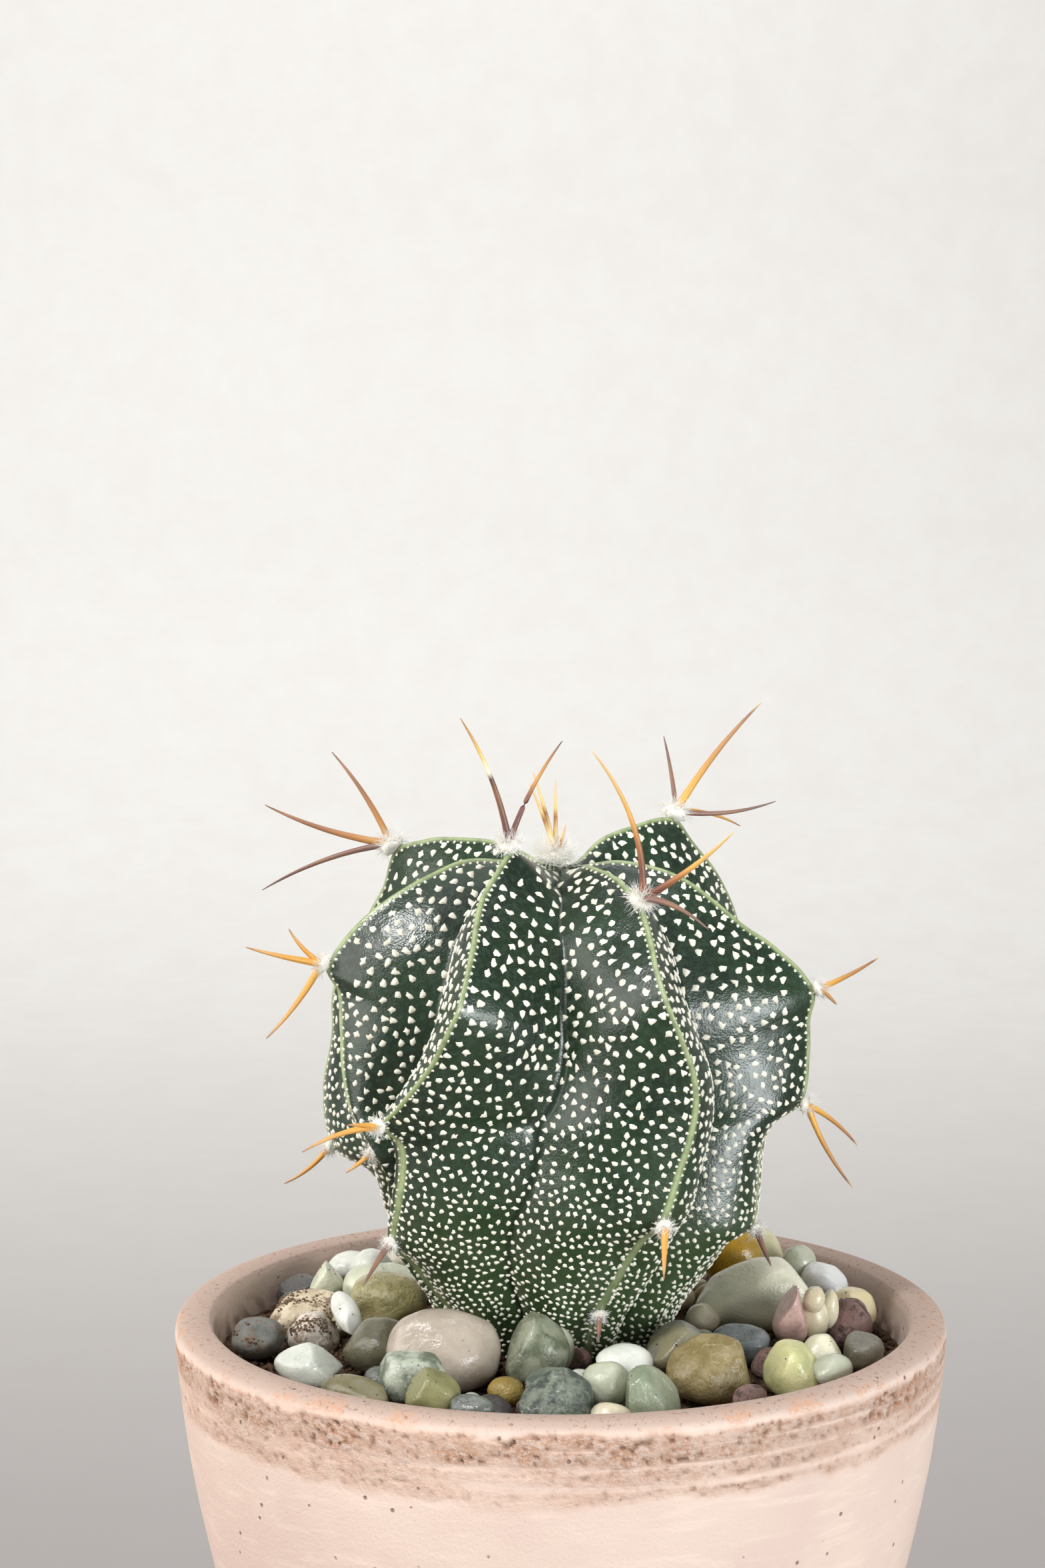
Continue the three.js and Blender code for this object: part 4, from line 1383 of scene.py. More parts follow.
# ---------------------------------------------------------------- pot, soil and stones
@dataclass
class ClayPot:
    """The pot: a turned wall with a worn, crumbling band under its lip. Sizes are in mm."""

    columns: int = 900
    worn_top: float = 78.7
    worn_middle: float = 74.9
    worn_foot: float = 71.0
    pit_depth: float = 0.42
    chip_rise: float = 0.16
    marked_from: float = 66.0
    outer_from: float = 43.0
    lip_step: float = 0.3
    wall_step: float = 1.4
    foot_step: float = 3.0
    streaks: tuple = ((74.9, 0.35, 0.28), (76.5, 0.5, 0.2), (73.2, 0.6, 0.45))
    outline: tuple = (
        (5, 0), (27.7, 0), (28.6, 1), (35, 27.5), (41.2, 53), (42.8, 60.5), (44, 68), (44.8, 75),
        (45, 78.2), (44.5, 79.6), (43.4, 80), (41.6, 79.9), (40.7, 79.2), (40.2, 75), (37.6, 58),
        (30.6, 28), (25.4, 7.6), (23.8, 6), (5, 6), (5, 0),
    )

    def _step(self, start: np.ndarray, end: np.ndarray) -> float:
        """Gives how far apart the points on one stretch of the outline are.

        Args:
            start: The (radius, height) where it starts.
            end: Where it ends.

        Returns:
            The distance in mm.
        """
        if min(start[1], end[1]) >= 68 and min(start[0], end[0]) > 40:
            return self.lip_step
        if min(start[1], end[1]) > 55:
            return self.wall_step
        return self.foot_step

    def _profile(self) -> np.ndarray:
        """Rounds the wall's outline and spaces points along it: close together near the lip.

        Returns:
            One (radius, height) row per point.
        """
        rows = []
        outline = np.array(self.outline, dtype=float)
        for i in range(len(outline) - 1):
            start, end = outline[i], outline[i + 1]
            count = max(1, int(np.linalg.norm(end - start) / self._step(start, end)))
            before, after = outline[max(i - 1, 0)], outline[min(i + 2, len(outline) - 1)]
            upper = min(start[1], end[1]) > 20
            for k in range(count):
                f = k / count
                straight = start + (end - start) * f
                rows.append(self._curve(before, start, end, after, f) if upper else straight)
        rows.append(outline[-1])
        return np.array(rows)

    @staticmethod
    def _curve(
        before: np.ndarray, start: np.ndarray, end: np.ndarray, after: np.ndarray, f: float
    ) -> np.ndarray:
        """Gives a point on a smooth curve through four outline points.

        Args:
            before: The point before the stretch.
            start: Where the stretch starts.
            end: Where it ends.
            after: The point after it.
            f: The share of the stretch.

        Returns:
            The point on the curve.
        """
        return 0.5 * (
            2 * start
            + (end - before) * f
            + (2 * before - 5 * start + 4 * end - after) * f**2
            + (3 * start - before - 3 * end + after) * f**3
        )

    def _worn(self, point: np.ndarray) -> float:
        """Tells how worn the outer wall is at a point, from 0 to 1.

        Args:
            point: A point on the wall.

        Returns:
            The wear: strong under the lip, weaker in a second band below a smooth streak.
        """
        broad, small = ripple(point, 15.0, 3.0), ripple(point, 3.2, 5.0)
        wave, height = 0.9 * broad + 0.7 * small, point[2]
        edge = wave * 0.7
        top = 1.0 - smoothstep(self.worn_top - 0.9 + edge, self.worn_top + edge, height)
        middle = smoothstep(self.worn_middle - 0.3, self.worn_middle + 0.5, height + wave * 0.4)
        foot = smoothstep(self.worn_foot - 0.9 + wave, self.worn_foot + 0.8 + wave, height)
        clumps = 0.55 + 0.45 * smoothstep(-0.3, 0.3, ripple(point, 5.5, 8.0))
        lower = foot * (0.42 + 0.25 * broad)
        return float(top * max(middle * clumps, lower))

    def _smooth_streaks(self, point: np.ndarray) -> float:
        """Tells where a pale streak of smooth clay crosses the worn band.

        Args:
            point: A point on the outer wall.

        Returns:
            The strength, from 0 to 1.
        """
        around = math.atan2(point[0], -point[1])
        strength = 0.0
        for level, swing, width in self.streaks:
            line = level + swing * math.sin(around * 1.7 + level)
            share = 0.35 + 0.5 * math.sin(around + 0.2) + 1.1 * ripple(point, 11.0, level)
            broken = np.clip(share, 0, 1)
            strength = max(strength, math.exp(-(((point[2] - line) / width) ** 2)) * broken)
        return strength

    def _marks(self, point: np.ndarray, outer: bool) -> tuple[float, ...]:
        """Works out the marks at a point.

        Args:
            point: A point on the pot.
            outer: Whether it is on the outer wall.

        Returns:
            How worn, chipped, pitted, stained and grimy it is.
        """
        if not outer:
            grime = 0.0
            if 73.5 < point[2] < 79.0:
                low = 1.0 - smoothstep(74.5, 77.6, point[2] + 1.6 * ripple(point, 4.0, 2.0))
                grime = 0.75 * low * float(smoothstep(-0.3, 0.3, ripple(point, 1.4, 6.0)))
            return 0.0, 0.0, 0.0, 0.0, grime
        worn = self._worn(point) * (1.0 - 0.85 * self._smooth_streaks(point))
        flat = point * np.array([1.0, 1.0, 1.5])
        crumble = 0.62 * ripple(flat, 0.95, 2.0) + 0.38 * ripple(flat, 0.48, 4.0)
        pit = worn * float(smoothstep(-0.17, -0.34, crumble))
        chip = worn * float(smoothstep(0.12, 0.3, crumble))
        edge = math.exp(-(((point[2] - 79.3) / 0.7) ** 2))
        blotch = ripple(point, 4.5, 1.0) + 0.5 * ripple(point, 0.9, 3.0)
        stain = edge * float(smoothstep(0.02, 0.34, blotch))
        stain = max(stain, worn * 0.6 * float(smoothstep(0.05, 0.45, ripple(point, 7.0, 9.0))))
        return worn, chip, pit, stain, 0.0

    def build(self) -> bpy.types.Object:
        """Builds the pot, which stands for the plain CAD pot.

        Returns:
            The new object.
        """
        profile = self._profile()[::-1]
        points, marks = [], []
        for radius, height in profile:
            outer = height > self.marked_from and radius > self.outer_from
            for turn in turns(self.columns):
                out = np.array([math.sin(turn), -math.cos(turn), 0.0])
                point = out * radius + np.array([0.0, 0.0, height])
                mark = self._marks(point, outer) if height > self.marked_from else (0.0,) * 5
                worn, chip, pit, _, _ = mark
                if outer:
                    sunk = worn * (0.16 + 0.12 * ripple(point, 2.2, 4.0))
                    point = point + out * (chip * self.chip_rise - sunk - pit * self.pit_depth)
                elif height > 1.0 and radius > 20.0:
                    point = point + out * 0.07 * ripple(point, 9.0)
                points.append(point)
                marks.append(mark)
        names = ("worn", "chip", "pit", "stain", "grime")
        paint = dict(zip(names, np.array(marks).T))
        shell = Shell()
        shell.add(points, grid_faces(len(profile), self.columns), **paint)
        piece = shell.build("clay_pot", Clay().material())
        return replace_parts(piece, "terracotta_pot")


@dataclass
class Soil:
    """The soil's broken surface and the crumbs on it. Sizes are in mm."""

    start: float = 8.0
    reach: float = 40.0
    rings: int = 90
    around: int = 260
    crumbs: int = 3200
    crumb_reach: float = 39.4
    crumb_size: tuple[float, float] = (0.18, 0.55)
    floor: float = 6.4
    floor_share: float = 0.62
    seed: int = 17
    top: tuple = ((0, 77.4), (14, 77), (22, 76.4), (30, 75.8), (36, 75.4), (40.5, 74.8))

    def height(self, radius: float) -> float:
        """Gives the height of the soil at a radius."""
        return float(np.interp(radius, [r for r, _ in self.top], [z for _, z in self.top]))

    def place(self, turn: float, radius: float) -> np.ndarray:
        """Gives the point on the soil at a turn in radians and a radius."""
        return np.array([math.sin(turn) * radius, -math.cos(turn) * radius, self.height(radius)])

    def build(self) -> bpy.types.Object:
        """Builds the soil, which stands for the CAD soil.

        Returns:
            The new object.
        """
        rng = random.Random(self.seed)
        shell = Shell()
        points = []
        for ring in range(self.rings):
            radius = self.start + (self.reach - self.start) * ring / (self.rings - 1)
            for turn in turns(self.around):
                point = self.place(turn, radius)
                rough = 0.45 * ripple(point, 2.0) + 0.3 * ripple(point, 0.8, 3.0)
                points.append(point + np.array([0.0, 0.0, rough - 0.1]))
        inward = np.array([self.floor_share, self.floor_share, 0.0])
        lifted = np.array([0, 0, self.floor])
        lowest = [point * inward + lifted for point in points[-self.around :]]
        shell.add(points + lowest, grid_faces(self.rings + 1, self.around))
        for _ in range(self.crumbs):
            turn = rng.uniform(0, 2 * math.pi)
            radius = math.sqrt(rng.uniform(0.07, 1.0)) * self.crumb_reach
            size = rng.uniform(*self.crumb_size) * (1.5 if rng.random() < 0.08 else 1.0)
            place = self.place(turn, radius) + np.array([0, 0, size * 0.3])
            shell.add(*self.crumb(place, size, rng))
        piece = shell.build("soil_surface", PottingMix().material())
        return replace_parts(piece, "potting_soil")

    @staticmethod
    def crumb(place: np.ndarray, size: float, rng: random.Random) -> tuple[np.ndarray, list]:
        """Shapes one irregular crumb.

        Args:
            place: Its middle.
            size: Its radius.
            rng: The seeded source of chance.

        Returns:
            Its points and its faces.
        """
        points = [place + np.array([0.0, 0.0, size * 0.8])]
        for level, share in ((0.35, 0.8), (-0.35, 0.9)):
            for k in range(5):
                turn = 2 * math.pi * (k + rng.uniform(-0.3, 0.3)) / 5
                reach = size * share * rng.uniform(0.6, 1.25)
                spoke = [math.cos(turn) * reach, math.sin(turn) * reach, level * size]
                points.append(place + np.array(spoke))
        points.append(place - np.array([0.0, 0.0, size * 0.8]))
        faces = []
        for k in range(5):
            j = (k + 1) % 5
            faces += [[0, 1 + k, 1 + j], [1 + k, 6 + k, 6 + j, 1 + j], [6 + k, 11, 6 + j]]
        return np.array(points), faces


@dataclass(frozen=True)
class SmallStone:
    """A small stone: its middle, length, width, height in mm, turn and family."""

    middle: Triple
    size: Triple
    turn: float
    family: Family


SMALL_STONES = (
    SmallStone((-26, 26.5, 78), (6, 5, 3.4), 20, Family.PALE),
    SmallStone((-23, 18.6, 79.8), (5.2, 4.6, 4.6), 0, Family.PALE),
    SmallStone((-0.2, -17.4, 80), (3, 3, 4.8), 10, Family.JADE),
    SmallStone((-9.9, -36.6, 79), (5, 3, 3), -15, Family.DARK),
    SmallStone((6.8, -22.4, 79.6), (6.4, 5, 4.6), 5, Family.PALE),
    SmallStone((4.7, -29.4, 79.6), (5.2, 4.6, 5), 0, Family.JADE),
    SmallStone((29.2, -5.6, 80.2), (3.4, 3.4, 5.4), 0, Family.CREAM),
    SmallStone((31.2, -4.2, 81), (2, 2.4, 4.6), 10, Family.CREAM),
    SmallStone((29.2, -7.2, 83), (2.4, 2.2, 3), 30, Family.CREAM),
    SmallStone((29.9, -21.8, 78.8), (5.6, 3.8, 3.6), 50, Family.JADE),
    SmallStone((29.4, 20.2, 80), (4.4, 4, 4.4), 0, Family.JADE),
    SmallStone((30.2, 10.4, 77.8), (3.8, 3.6, 3.4), 0, Family.RUST),
    SmallStone((20.4, -30.4, 78.2), (4, 3.4, 3), 30, Family.RUST),
)


@dataclass(frozen=True)
class Pebble:
    """A stone of the frame: its family, its finish and how far it's sunk in mm.

    Its flats are (compass, rise, share of the stone's reach kept).
    """

    family: Family
    finish: RiverStone
    flats: tuple[Triple, ...] = ()
    lower: float = 0.0


PEBBLES = (
    Pebble(Family.CREAM,
           RiverStone((172, 160, 146), (158, 146, 132), (194, 186, 176), Feel.CLEAR, 5.0),
           ((20, 40, 0.88),), 0.6),
    Pebble(Family.OLIVE, RiverStone((98, 94, 74), (84, 82, 66), (120, 116, 94)),
           ((30, 50, 0.8), (-70, 40, 0.85)), 0.8),
    Pebble(Family.OLIVE, RiverStone((160, 150, 106), (130, 122, 80), (200, 198, 168), Feel.WET),
           (), 0.8),
    Pebble(Family.JADE, RiverStone((198, 200, 180), (184, 186, 164)), ((40, 55, 0.68),), 0.6),
    Pebble(Family.DARK, RiverStone((104, 104, 98), (88, 90, 86), (128, 122, 112), Feel.CRUSTED),
           ((20, 60, 0.75), (-70, 40, 0.8))),
    Pebble(Family.DARK,
           RiverStone((204, 194, 182), (172, 162, 150), (220, 214, 204), Feel.CRUSTED),
           ((-60, 50, 0.66), (80, 30, 0.68)), 1.4),
    Pebble(Family.CREAM,
           RiverStone((206, 192, 166), (178, 162, 134), (216, 206, 184), Feel.CRUSTED),
           ((0, 70, 0.75), (-80, 35, 0.8)), 1.4),
    Pebble(Family.PALE, RiverStone((204, 206, 182), (190, 192, 168)),
           ((-85, 34, 0.5), (88, 40, 0.52))),
    Pebble(Family.DARK, RiverStone((72, 68, 62), (60, 58, 56), (104, 98, 92)),
           ((0, 75, 0.7),), 0.6),
    Pebble(Family.JADE, RiverStone((178, 172, 152), (150, 144, 124)), (), 0.6),
    Pebble(Family.PALE, RiverStone((190, 194, 184), (202, 204, 194), (166, 172, 158), Feel.CLEAR),
           ((70, 46, 0.5), (75, -30, 0.6), (-40, 60, 0.78)), 0.8),
    Pebble(Family.OLIVE, RiverStone((112, 106, 76), (98, 92, 64), (140, 134, 104), Feel.CLEAR),
           ((0, 60, 0.8),), -0.8),
    Pebble(Family.DARK, RiverStone((170, 176, 160), (84, 94, 76), (208, 212, 202), patch=2.6),
           ((0, 80, 0.7), (-75, 20, 0.74), (10, 30, 0.8), (80, 30, 0.8))),
    Pebble(Family.OLIVE, RiverStone((126, 124, 84), (110, 108, 72), (150, 148, 112)),
           ((-75, 32, 0.6), (60, 55, 0.66), (0, 10, 0.8)), 0.3),
    Pebble(Family.PALE, RiverStone((212, 212, 206), (198, 198, 190), feel=Feel.CLEAR),
           ((30, 20, 0.7), (-60, 30, 0.75)), 2.0),
    Pebble(Family.JADE, RiverStone((134, 138, 118), (90, 96, 76), (190, 194, 178), patch=2.0),
           ((-62, 32, 0.52), (64, 42, 0.58), (-10, 8, 0.74), (15, 40, 0.8))),
    Pebble(Family.DARK, RiverStone((54, 48, 48), (74, 70, 66), (100, 98, 92)),
           ((20, 60, 0.7),), 0.8),
    Pebble(Family.DARK, RiverStone((116, 122, 108), (80, 88, 80), (150, 156, 142)),
           ((-20, 60, 0.68), (70, 40, 0.75)), 0.6),
    Pebble(Family.DARK, RiverStone((116, 124, 110), (58, 66, 60), (190, 196, 184), Feel.WET, 1.6),
           ((-50, 46, 0.56), (55, 54, 0.66), (0, 12, 0.78), (80, 10, 0.8))),
    Pebble(Family.OLIVE, RiverStone((142, 136, 106), (112, 112, 106), (168, 164, 140), patch=4.5),
           ((-68, 46, 0.52), (90, 50, 0.75), (10, 20, 0.85)), 0.4),
    Pebble(Family.JADE, RiverStone((140, 148, 126), (120, 130, 106), (204, 208, 192)),
           ((72, 38, 0.4), (-88, 5, 0.65), (0, 18, 0.72), (-60, 60, 0.85)), 0.4),
    Pebble(Family.AMBER, RiverStone((134, 120, 84), (112, 96, 52), (178, 168, 132), Feel.WET, 2.4),
           ((10, 58, 0.6), (82, 12, 0.7), (-62, 38, 0.66), (30, 5, 0.74), (-20, 10, 0.8))),
    Pebble(Family.DARK, RiverStone((118, 124, 124), (88, 96, 96), (150, 156, 152)),
           ((0, 70, 0.7),), 0.4),
    Pebble(Family.PALE,
           RiverStone((220, 216, 194), (204, 202, 178), (226, 222, 204), Feel.CLEAR, 6.0),
           ((-50, 56, 0.7), (95, 38, 0.7), (10, 10, 0.85)), 1.2),
    Pebble(Family.AMBER, RiverStone((172, 132, 34), (142, 114, 44), (192, 168, 90), Feel.CLEAR),
           (), -2.0),
    Pebble(Family.JADE, RiverStone((196, 190, 152), (180, 176, 138)), ((60, 50, 0.62),), 0.8),
    Pebble(Family.RUST, RiverStone((194, 162, 152), (166, 134, 126), (206, 182, 172)),
           ((-80, 32, 0.36), (85, 12, 0.66)), -1.2),
    Pebble(Family.JADE, RiverStone((192, 188, 138), (166, 168, 118), (210, 208, 172)),
           ((-62, 26, 0.6), (62, 32, 0.54), (5, 8, 0.7), (0, 80, 0.74))),
    Pebble(Family.CREAM, RiverStone((208, 204, 182), (192, 188, 158), (220, 216, 200), Feel.CLEAR),
           ((0, 50, 0.8), (80, 30, 0.7))),
    Pebble(Family.RUST, RiverStone((118, 90, 82), (92, 68, 62), (140, 114, 104), Feel.POROUS),
           ((-40, 50, 0.6),)),
    Pebble(Family.PALE, RiverStone((230, 228, 226), (220, 220, 216), (206, 206, 200), Feel.CLEAR),
           ((60, 60, 0.75),), -0.2),
    Pebble(Family.CREAM, RiverStone((214, 200, 166), (218, 202, 150), (222, 214, 190), Feel.CLEAR),
           ((0, 60, 0.8), (-60, 30, 0.75)), 0.0),
    Pebble(Family.DARK, RiverStone((110, 104, 88), (92, 88, 76), (134, 130, 114)),
           ((0, 70, 0.7),)),
    Pebble(Family.JADE, RiverStone((158, 160, 138), (140, 142, 120)), ((160, 50, 0.72),)),
    Pebble(Family.PALE, RiverStone((196, 196, 184), (180, 180, 164), feel=Feel.CLEAR),
           ((180, 60, 0.75),)),
    Pebble(Family.DARK, RiverStone((86, 90, 86), (104, 108, 98), (132, 136, 128)),
           ((150, 50, 0.7),)),
    Pebble(Family.OLIVE, RiverStone((140, 134, 102), (122, 116, 86)), ((200, 50, 0.75),)),
    Pebble(Family.DARK, RiverStone((92, 90, 84), (114, 110, 98), (146, 142, 130)),
           ((180, 40, 0.75),)),
)


@dataclass
class Pebbles:
    """The river pebbles: the frame's own, made smooth, and small ones in the gaps. Sizes in mm.

    No small stone is laid on the open soil, whose patches are (left, right, near, far).
    """

    soil: Soil
    fillers: int = 60
    tries: int = 6000
    reach: float = 36.5
    filler_size: tuple[float, float] = (2.4, 5.4)
    open_soil: tuple = ((-40, -26, -40, -6), (-40, -13, -40, -26), (2, 16, -22, 0))
    large_gap: float = 0.86
    small_gap: float = 0.44
    regrow: float = 1.07
    softness: float = 0.05
    splits: int = 2
    small_rings: int = 14
    small_sides: int = 22
    crust_crumbs: int = 640
    stray_crumbs: int = 6
    dusty: tuple = (srgb(112, 88, 68), srgb(156, 130, 102), srgb(194, 172, 144))
    seed: int = 23

    def _smooth(self, mesh: bpy.types.Mesh) -> tuple[np.ndarray, list]:
        """Splits a coarse stone's faces and rounds it.

        Args:
            mesh: The coarse stone, in metres.

        Returns:
            Its points in mm and its faces.
        """
        rough = bpy.data.objects.new("rough_stone", mesh)
        bpy.context.collection.objects.link(rough)
        rough.modifiers.new("rounding", "SUBSURF").levels = self.splits
        shape = rough.evaluated_get(bpy.context.evaluated_depsgraph_get()).to_mesh()
        points = np.array([v.co[:] for v in shape.vertices]) / MM
        faces = [list(face.vertices) for face in shape.polygons]
        bpy.data.objects.remove(rough)
        return points, faces

    def _wear(self, local: np.ndarray, way: np.ndarray, share: float) -> np.ndarray:
        """Wears a soft-edged flat on a stone.

        Args:
            local: The stone's points round its middle.
            way: The unit direction the flat faces.
            share: How much of the stone's reach that way is kept.

        Returns:
            The worn points.
        """
        reach = local @ way
        limit = reach.max() * share
        soft = self.softness * reach.max()
        over = soft * np.logaddexp(0.0, (reach - limit) / soft)
        return local - way * (over * 0.92)[:, None]

    def _tumble(
        self, points: np.ndarray, rng: random.Random, flats: tuple = (), chance: int = 3,
        lumpy: float = 0.06,
    ) -> np.ndarray:
        """Gives a round stone its flats and the soft dents of a tumbled one.

        Args:
            points: The round stone's points.
            rng: The seeded source of chance.
            flats: Flats it surely has, as (compass, rise, share kept).
            chance: How many slight flats it has besides.
            lumpy: How far its lumps rise, as a share of its reach.

        Returns:
            The shaped points.
        """
        middle = (points.min(axis=0) + points.max(axis=0)) / 2.0
        local = (points - middle) * self.regrow
        for compass, rise, share in flats:
            local = self._wear(local, bearing(compass, rise), share)
        for _ in range(chance):
            way = unit(np.array([rng.gauss(0, 1) for _ in range(3)]))
            local = self._wear(local, way, rng.uniform(0.84, 0.95))
        seed = rng.uniform(0, 50)
        size = float(np.abs(local).max())
        lumps = [ripple(p, size * 0.8, seed) + 0.35 * ripple(p, size * 0.3, seed) for p in local]
        return middle + local * (1.0 + lumpy * np.array(lumps))[:, None]

    def _frame_stones(self, rng: random.Random) -> list[bpy.types.Object]:
        """Builds the stones that the frame holds.

        Args:
            rng: The seeded source of chance.

        Returns:
            The new objects.
        """
        pieces, grit = [], Shell()
        for number, pebble in enumerate(PEBBLES, start=1):
            node, name = f"pebble_{number:02d}", f"stone_{number:02d}"
            points, faces = self._smooth(self._welded(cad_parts[node].data))
            lumpy = 0.05 + 0.12 * pebble.finish.feel.value[2]
            points = self._tumble(points, rng, pebble.flats, lumpy=lumpy)
            points -= np.array([0.0, 0.0, pebble.lower])
            shell = Shell()
            shell.add(points, faces)
            piece = shell.build(name, pebble.finish.material(name))
            f"pebble_{pebble.family.name.lower()}"
            pieces.append(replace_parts(piece, node))
            self._dust(grit, points, pebble, rng)
        dusty = grit.build("stone_grit", PottingMix(*self.dusty).material("dry_grit"))
        pieces.append(dusty)
        return pieces

    def _dust(self, grit: Shell, points: np.ndarray, pebble: Pebble, rng: random.Random) -> None:
        """Scatters crumbs of soil on a stone: many in patches on a crusted one, few on others.

        Args:
            grit: The piece the crumbs go into.
            points: The stone's points.
            pebble: The stone.
            rng: The seeded source of chance.
        """
        low, high = points[:, 2].min(), points[:, 2].max()
        upper = points[points[:, 2] > low + (high - low) * 0.6]
        crusted = pebble.finish.feel is Feel.CRUSTED
        for _ in range(self.crust_crumbs if crusted else self.stray_crumbs):
            spot = upper[rng.randrange(len(upper))]
            if crusted and ripple(spot, 2.8, 12.0) + rng.uniform(-0.12, 0.12) < 0.1:
                continue
            near = np.array([rng.gauss(0, 0.15), rng.gauss(0, 0.15), 0.0])
            grit.add(*Soil.crumb(spot + near, rng.uniform(0.07, 0.24 if crusted else 0.14), rng))

    @staticmethod
    def _welded(mesh: bpy.types.Mesh) -> bpy.types.Mesh:
        """Joins the loose corners of a mesh and gives a new one.

        Args:
            mesh: The mesh to join up.

        Returns:
            The new mesh.
        """
        where: dict[tuple[int, int, int], int] = {}
        points, index = [], []
        for vertex in mesh.vertices:
            key = tuple(round(c * 1e6) for c in vertex.co)
            if key not in where:
                where[key] = len(points)
                points.append(vertex.co[:])
            index.append(where[key])
        faces = [[index[i] for i in face.vertices] for face in mesh.polygons]
        welded = bpy.data.meshes.new("welded_stone")
        welded.from_pydata(points, [], [face for face in faces if len(set(face)) == 3])
        return welded

    def _small(self, stone: SmallStone, rng: random.Random) -> tuple[np.ndarray, np.ndarray]:
        """Shapes a small stone.

        Args:
            stone: The stone.
            rng: The seeded source of chance.

        Returns:
            Its points and its faces.
        """
        length, width, height = stone.size
        turn = math.radians(stone.turn)
        cosine, sine = math.cos(turn), math.sin(turn)
        points = []
        for ring in range(self.small_rings):
            slope = math.pi * (ring + 0.02) / (self.small_rings - 0.96)
            for angle in turns(self.small_sides):
                x = math.sin(slope) * math.cos(angle) * length / 2
                y = math.sin(slope) * math.sin(angle) * width / 2
                z = math.cos(slope) * height / 2
                points.append([x * cosine - y * sine, x * sine + y * cosine, z])
        local = self._tumble(np.array(points), rng, chance=5)
        return local + np.array(stone.middle), grid_faces(self.small_rings, self.small_sides)

    def _between(self, rng: random.Random) -> list[SmallStone]:
        """Finds room for small stones between the large ones.

        Args:
            rng: The seeded source of chance.

        Returns:
            The small stones that fit.
        """
        spots = []
        for node in (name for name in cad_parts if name.startswith("pebble_")):
            low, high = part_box(node)
            middle = (np.array(low) + np.array(high)) / 2 / MM
            spots.append((middle[0], middle[1], (high[0] - low[0] + high[1] - low[1]) / 4 / MM))
        spots += [(s.middle[0], s.middle[1], max(s.size[:2]) / 2) for s in SMALL_STONES]
        found = []
        for _ in range(self.tries):
            if len(found) == self.fillers:
                break
            turn = rng.uniform(0, 2 * math.pi)
            radius = math.sqrt(rng.uniform(0.16, 1.0)) * self.reach
            size = rng.uniform(*self.filler_size)
            x, y = math.sin(turn) * radius, -math.cos(turn) * radius
            if any(a < x < b and c < y < d for a, b, c, d in self.open_soil):
                continue
            room = size * self.small_gap
            if any(math.hypot(x - a, y - b) < r * self.large_gap + room for a, b, r in spots):
                continue
            spots.append((x, y, size / 2))
            flat = rng.uniform(0.6, 0.85)
            z = self.soil.height(radius) + size * flat * 0.42
            shape = (size, size * rng.uniform(0.7, 0.95), size * flat)
            twist = rng.uniform(0, 180)
            found.append(SmallStone((x, y, z), shape, twist, rng.choice(list(Family))))
        return found

    def build(self) -> list[bpy.types.Object]:
        """Builds every stone.

        Returns:
            The new objects.
        """
        rng = random.Random(self.seed)
        pieces = self._frame_stones(rng)
        small = [*SMALL_STONES, *self._between(rng)]
        for family in Family:
            shell = Shell()
            for stone in small:
                if stone.family is family:
                    shell.add(*self._small(stone, rng))
            name = f"small_stones_{family.name.lower()}"
            piece = shell.build(name, family.value.material(name))
            pieces.append((piece, f"pebble_{family.name.lower()}")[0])
        return pieces


# ---------------------------------------------------------------- studio
@dataclass(frozen=True)
class Lamp:
    """A soft light: place, width, height and aim in metres, power in watts, spread in degrees."""

    name: str
    place: Triple
    width: float
    tall: float
    power: float
    colour: Triple = (1.0, 1.0, 1.0)
    aim: Triple = (0.0, 0.0, 0.1)
    spread: float = 180.0


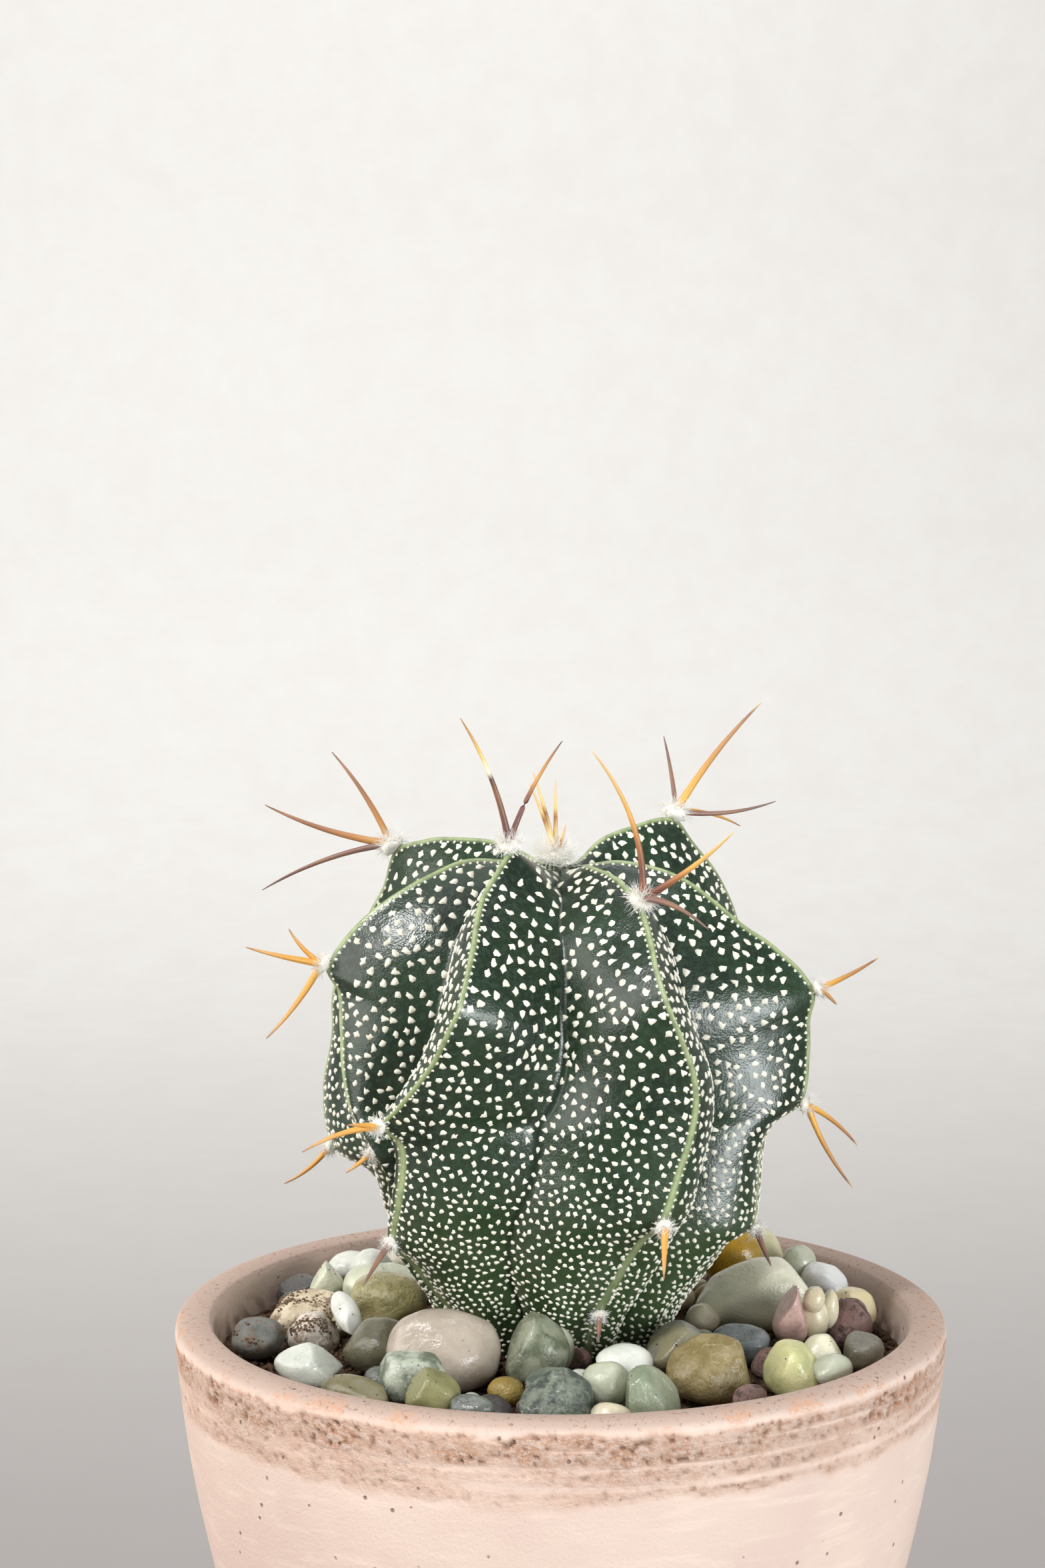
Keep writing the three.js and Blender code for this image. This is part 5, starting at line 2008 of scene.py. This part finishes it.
@dataclass
class Studio:
    """The floor, backdrop, lights and camera. Sizes are in metres."""

    lens: float = 80.0
    sensor: float = 36.0
    nearest: float = 0.01
    eye: Triple = (-0.00443, -0.39813, 0.19016)
    tilt: float = 6.92
    half_width: float = 3.0
    sweep: tuple = (
        (-3.0, 0.0), (0.5, 0.0), (0.62, 0.01), (0.72, 0.05), (0.80, 0.13), (0.84, 0.25),
        (0.86, 1.8),
    )
    paper: tuple = srgb(236, 234, 230)
    cloudy: tuple = srgb(233, 230, 226)
    shade: tuple = srgb(158, 153, 151)
    air: tuple = srgb(244, 245, 248)
    air_power: float = 0.34
    lamps: tuple[Lamp, ...] = (
        Lamp("left_window", (-0.50, -0.14, 0.28), 0.60, 0.44, 2.6, (1.0, 0.98, 0.94)),
        Lamp("right_window", (0.50, -0.56, 0.155), 0.46, 0.28, 0.92, (0.94, 0.98, 1.0), spread=70),
        Lamp("top_light", (0.05, -0.05, 0.70), 0.40, 0.40, 0.6),
        Lamp("spark_light", (-0.22, -0.26, 0.50), 0.05, 0.05, 1.3),
        Lamp("paper_light", (0.0, 0.30, 0.80), 0.50, 0.30, 2.9, aim=(0.0, 0.86, 0.30)),
    )

    def _sweep(self) -> None:
        """Makes the floor and backdrop as one pale curved sheet."""
        points = [(x, y, z) for y, z in self.sweep for x in (-self.half_width, self.half_width)]
        faces = [[2 * i, 2 * i + 1, 2 * i + 3, 2 * i + 2] for i in range(len(self.sweep) - 1)]
        mesh = bpy.data.meshes.new("paper_sweep")
        mesh.from_pydata(points, [], faces)
        mesh.polygons.foreach_set("use_smooth", [True] * len(mesh.polygons))
        m = Weave("studio_paper", 0.9, Specular_IOR_Level=0.2)
        mottled = m.mix(m.band(m.clouds(14.0, 5.0, 0.6), 0.3, 0.7), self.paper, self.cloudy)
        near = m.times(m.band(m.axis("Y"), 0.74, 0.04), m.band(m.axis("Y"), -1.1, -0.3))
        near = m.times(near, m.band(m.away(m.axis("X"), 0.0), 0.95, 0.35))
        colour = m.mix(near, mottled, self.shade)
        mesh.materials.append(m.finish(colour, m.bump(m.clouds(3.0, 3.0), 0.05)))
        sheet = bpy.data.objects.new("paper_sweep", mesh)
        bpy.context.collection.objects.link(sheet)

    @staticmethod
    def _light(lamp: Lamp) -> None:
        """Hangs one lamp and aims it.

        Args:
            lamp: The lamp.
        """
        data = bpy.data.lights.new(lamp.name, "AREA")
        data.shape = "RECTANGLE"
        data.size = lamp.width
        data.size_y = lamp.tall
        data.energy = lamp.power
        data.color = lamp.colour
        data.spread = math.radians(lamp.spread)
        light = bpy.data.objects.new(lamp.name, data)
        light.location = lamp.place
        light.visible_camera = False
        ahead = Vector(lamp.aim) - light.location
        light.rotation_euler = ahead.to_track_quat("-Z", "Y").to_euler()
        bpy.context.collection.objects.link(light)

    def build(self) -> None:
        """Sets up the whole studio."""
        scene = bpy.context.scene
        scene.view_settings.view_transform = "Standard"
        world = bpy.data.worlds.new("studio_air")
        world.use_nodes = True
        sky = world.node_tree.nodes["Background"]
        sky.inputs["Color"].default_value = self.air
        sky.inputs["Strength"].default_value = self.air_power
        scene.world = world
        self._sweep()
        for lamp in self.lamps:
            self._light(lamp)
        data = bpy.data.cameras.new("camera")
        data.lens = self.lens
        data.sensor_fit = "VERTICAL"
        data.sensor_height = self.sensor
        data.clip_start = self.nearest
        camera = bpy.data.objects.new("camera", data)
        camera.location = self.eye
        camera.rotation_euler = (math.radians(90.0 - self.tilt), 0.0, 0.0)
        bpy.context.collection.objects.link(camera)
        scene.camera = camera


def main() -> None:
    """Builds the object in order, then the studio."""
    logging.basicConfig(level=logging.INFO, format="%(name)s: %(message)s")
    body = CactusBody()
    made = [body.build()]
    made.append(Flecks(body).build())
    made += Cushions(body).build()
    made.append(ClayPot().build())
    soil = Soil()
    made.append(soil.build())
    made += Pebbles(soil).build()
    for piece in made:
        log.info("%s: %d faces", piece.name, len(piece.data.polygons))
    Studio().build()
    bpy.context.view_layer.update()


if __name__ == "__main__":
    main()
